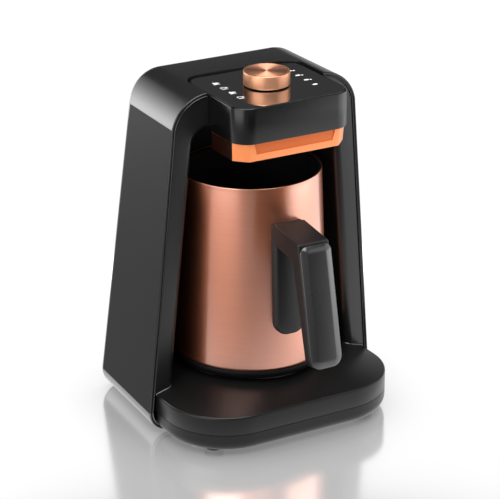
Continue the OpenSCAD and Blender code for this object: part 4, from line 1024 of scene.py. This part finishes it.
def rear_holes():
    """Tools for the vents, the four screws' recesses and the cord's inlet."""
    holes = []
    for s in (-1, 1):
        for i in range(VENTS):
            z = VENT_Z + i * VENT_PITCH
            outline = arc(s * VENT_X + VENT_HW, z, VENT_R, -90, 90, 4)
            outline += arc(s * VENT_X - VENT_HW, z, VENT_R, 90, 270, 4)
            holes.append(prism(f"vent{s}{i}", outline, "y", TOOL_FRONT, TOOL_REAR))
    for s in (-1, 1):
        for z in (45, BODY_H - 40):
            x = s * (half_w(z) - SHELL_WALL - rear_y(z) * tan(PLAN_TAPER) - SCREW_IN + 0.8)
            outline = arc(x, z, SCREW_R, 0, 345, 23)
            bottom = rear_y(z) + COVER_OUT - SCREW_DEPTH
            holes.append(prism(f"hole{s}{z}", outline, "y", bottom, TOOL_REAR))
    outline = arc(INLET_X, INLET_Z, INLET_R, 0, 345, 23)
    holes.append(prism("inlet", outline, "y", TOOL_FRONT, TOOL_REAR))
    return holes


def build_rear(edge=4.0):
    leg_x = half_w(SHELL_FLOOR + LEG_R) - LEG_R - 2
    path = both_sides(rear_path())
    path = [point for point in path if point[1] > SHELL_FLOOR + 0.5 or abs(point[0]) > leg_x]

    def ring(inset, back):
        return [at_edge(point, inset, rear_y, back) for point in path]

    rings = [ring(COVER_INSET + 0.4, 0.15), ring(COVER_INSET, 0.5)]
    for across, down in rounding(0, *FINE):
        rings.append(ring(COVER_INSET + edge * across, COVER_OUT - edge * down))
    rear = loft("rear_panel", rings)
    for tool in rear_holes():
        boolean(rear, tool)
    crisp(rear, 30)
    dress(rear, shell_paint, stands_for=["rear_cover"])


build_rear()

# ---- the CAD nodes that stay ----
KEPT = (
    (zinc, "rear_screws base_screws head_screws board_screws pad_studs handle_screw"),
    (steel, "heater_plate element_bracket temperature_probe encoder_shaft pot_base_plate"),
    (black_plastic, "heater_well head_underside encoder_plunger knob_core"),
    (board, "power_board led_strip control_board"),
    (component, "capacitors buzzer encoder_housing"),
    (rubber, "rubber_feet cable_gland"),
    (spring_wire, "probe_spring tactile_dome"),
    (alcove_paint, "alcove_liner"),
    (base_paint, "base_cover"),
    (silicone, "plate_seal"),
    (element_metal, "heating_element"),
    (ceramic, "thermal_cutout"),
    (tape_yellow, "transformer"),
    (relay_blue, "relay"),
    (terminal_green, "terminal_block"),
    (wire_sleeve, "wiring_harness"),
    (lens_dark, "sensor_lens"),
    (clear_plastic, "light_pipes"),
)
for material, names in KEPT:
    for name in names.split():
        slots = NODES[name].data.materials
        slots.clear()
        slots.append(material)

# ---- floor, backdrop, light, camera ----
MIRROR, FLOOR_GLOW, CARD = 0.90, 0.50, 0.58
SHEEN_FRONT, SHEEN_REAR = 0.05, 1.20
MIRROR_IN, MIRROR_OUT = 0.22, 0.32
FLOOR_SIZE, FLOOR_WHITE, CONTACT_REACH = 6.0, 1.02, 0.05
MIRROR_ROUGH, SKY = 0.15, 0.062


def stage_material(name):
    """A material without its first shader, its node tree, and its light path."""
    material, tree = new_material(name)
    tree.nodes.remove(tree.nodes["Principled BSDF"])
    return material, tree, add(tree, "LightPath").outputs


def shade_with(tree, shader):
    tree.links.new(shader, tree.nodes["Material Output"].inputs["Surface"])


def glow_of(tree, strength):
    return add(tree, "Emission", {"Color": (1, 1, 1, 1), "Strength": strength}).outputs[0]


def mixed(tree, share, first, second):
    return add(tree, "MixShader", {0: share, 1: first, 2: second}).outputs[0]


def hide_from(obj, *rays):
    """The object doesn't show to these kinds of ray."""
    for ray in rays:
        setattr(obj, "visible_" + ray, False)


def quad(name, corners, material):
    """A four-cornered card. Its corners are in metres."""
    card = link_mesh(name, corners, [(0, 1, 2, 3)])
    card.data.materials.append(material)
    return card


def on_floor(x0, x1, y0, y1, z=0.0):
    return [(x0, y0, z), (x1, y0, z), (x1, y1, z), (x0, y1, z)]


def floor_material():
    """To the camera white, with a soft mirror image and a contact shadow; to the rest grey and lit."""
    material, tree, path = stage_material("pale_floor")
    where = add(tree, "TexCoord").outputs["Object"]
    away = add(tree, "VectorMath", {0: where}, operation="LENGTH").outputs["Value"]
    occlusion = add(tree, "AmbientOcclusion", {"Distance": CONTACT_REACH}, samples=8).outputs["AO"]
    shade = ramp(tree, occlusion, low=0.30, high=1.0, start=0.25, end=0.95)
    glow = FLOOR_GLOW / (1 - MIRROR)
    base = ramp(tree, away, glow, FLOOR_WHITE, MIRROR_IN, MIRROR_OUT, "SMOOTHSTEP")
    near = ramp(tree, away, MIRROR, 0.0, MIRROR_IN, MIRROR_OUT, "SMOOTHSTEP")
    image = add(tree, "BsdfGlossy", {"Color": (1, 1, 1, 1), "Roughness": MIRROR_ROUGH}).outputs[0]
    seen = mixed(tree, near, glow_of(tree, maths(tree, "MULTIPLY", shade, base)), image)
    tone = ramp(tree, add(tree, "TexNoise", {"Scale": 40.0}).outputs["Fac"], 0.20, 0.24)
    matt = add(tree, "BsdfDiffuse", {"Color": tone}).outputs[0]
    to_rear_right = {0: where, 1: (0.7, 0.7, 0.0)}
    along = add(tree, "VectorMath", to_rear_right, operation="DOT_PRODUCT").outputs["Value"]
    sheen = glow_of(tree, ramp(tree, along, SHEEN_FRONT, SHEEN_REAR, -0.30, 0.06, "SMOOTHSTEP"))
    lit = add(tree, "AddShader", {0: matt, 1: sheen}).outputs[0]
    shade_with(tree, mixed(tree, path["Is Camera Ray"], lit, seen))
    return material


def horizon_card(radius, height, first, last, n=48):
    """A low white card, bent round the set's rear right, which only mirror images see."""
    turns = [radians(first + (last - first) * i / n) for i in range(n + 1)]
    verts = [(radius * sin(a), -radius * cos(a), z) for z in (-0.001, height) for a in turns]
    faces = [(i, i + 1, n + 2 + i, n + 1 + i) for i in range(n)]
    card = link_mesh("horizon_card", verts, faces)
    material, tree, path = stage_material("horizon_white")
    clear = add(tree, "BsdfTransparent").outputs[0]
    shade_with(tree, mixed(tree, path["Is Glossy Ray"], clear, glow_of(tree, CARD)))
    material.cycles.emission_sampling = "NONE"
    card.data.materials.append(material)
    hide_from(card, "camera", "diffuse", "shadow", "transmission")
    return card


def glow_card(name, azimuth, distance, width, low, high, bright, faint):
    """An upright card that only mirror images see: bright at its foot, faint at its top."""
    a = radians(azimuth)
    centre = Vector((sin(a), -cos(a), 0.0)) * distance
    across = Vector((cos(a), sin(a), 0.0)) * (width / 2)
    up = Vector((0.0, 0.0, 1.0))
    left, right = centre - across, centre + across
    corners = [tuple(c) for c in (left + up * low, right + up * low, right + up * high, left + up * high)]
    material, tree, path = stage_material(name)
    where = add(tree, "TexCoord").outputs["Object"]
    height = add(tree, "SeparateXYZ", {0: where}).outputs["Z"]
    fade = ramp(tree, height, bright, faint, low + 0.03, high, "SMOOTHSTEP")
    first_bounce = maths(tree, "LESS_THAN", path["Ray Depth"], 1.5)
    shade_with(tree, glow_of(tree, maths(tree, "MULTIPLY", fade, first_bounce)))
    card = quad(name, corners, material)
    hide_from(card, "camera", "diffuse", "shadow", "transmission")
    return card


floor = quad("studio_floor", on_floor(-FLOOR_SIZE, FLOOR_SIZE, -FLOOR_SIZE, FLOOR_SIZE), floor_material())
card = horizon_card(radius=0.40, height=0.285, first=105, last=195)
# a black card just above the floor in front, which only mirror images see
flag_black = surface("flag_black", (0.002, 0.002, 0.002), 0.9, spec=0.0, bump=0.0)
flag = quad("dark_flag", on_floor(-0.22, 0.23, -0.82, -0.40, 0.002), flag_black)
hide_from(flag, "camera", "diffuse", "shadow")
glow = glow_card(
    "rear_left_card", azimuth=-148, distance=0.365, width=0.26, low=0.13, high=0.43, bright=5.4, faint=0.6)


def build_world():
    """White to the camera, faint to everything else."""
    world = bpy.data.worlds.new("studio")
    bpy.context.scene.world = world
    world.use_nodes = True
    tree = world.node_tree
    background = tree.nodes["Background"]
    background.inputs["Color"].default_value = (1, 1, 1, 1)
    camera_ray = add(tree, "LightPath").outputs["Is Camera Ray"]
    tree.links.new(ramp(tree, camera_ray, SKY, 1.0), background.inputs["Strength"])


build_world()

AIM = Vector((0.0, 0.0, 0.12))


def aimed(name, data, place, direction):
    """A lamp or camera at a place that looks in a direction."""
    obj = bpy.data.objects.new(name, data)
    obj.location = place
    obj.rotation_euler = direction.to_track_quat("-Z", "Y").to_euler()
    bpy.context.scene.collection.objects.link(obj)
    return obj


def panel(name, azimuth, elevation, distance, width, height, power):
    """A soft box. Azimuth 0 is in front (-Y), positive to the right (+X)."""
    a, e = radians(azimuth), radians(elevation)
    direction = Vector((sin(a) * cos(e), -cos(a) * cos(e), sin(e)))
    data = bpy.data.lights.new(name, "AREA")
    data.shape, data.size, data.size_y = "RECTANGLE", width, height
    data.energy = power
    hide_from(aimed(name, data, AIM + direction * distance, -direction), "camera")


# name, azimuth, elevation, distance, width, height, power
panel("left_softbox", -73, 9, 0.60, 0.60, 0.50, 2.4)
panel("right_softbox", 60, 15, 0.47, 0.54, 0.50, 1.10)
panel("front_fill", -20, 12, 1.4, 1.6, 0.8, 1.5)
panel("top_softbox", -30, 72, 0.9, 0.95, 0.8, 13.0)

# the photograph's camera, solved from the picture
CAMERA = Vector((-697.4, -1204.9, 674.5)) * MM
LOOK_AZ, LOOK_EL = radians(-29.74), radians(21.93)
FOCAL_PX, PICTURE_PX, SENSOR_MM = 2289.8, 500, 36.0


def build_camera():
    level = cos(LOOK_EL)
    forward = Vector((-sin(LOOK_AZ) * level, cos(LOOK_AZ) * level, -sin(LOOK_EL)))
    data = bpy.data.cameras.new("camera")
    data.lens, data.sensor_width = FOCAL_PX * SENSOR_MM / PICTURE_PX, SENSOR_MM
    data.clip_start, data.clip_end = 0.05, 50.0
    bpy.context.scene.camera = aimed("camera", data, CAMERA, forward)


build_camera()
bpy.context.scene.view_settings.view_transform = "Standard"
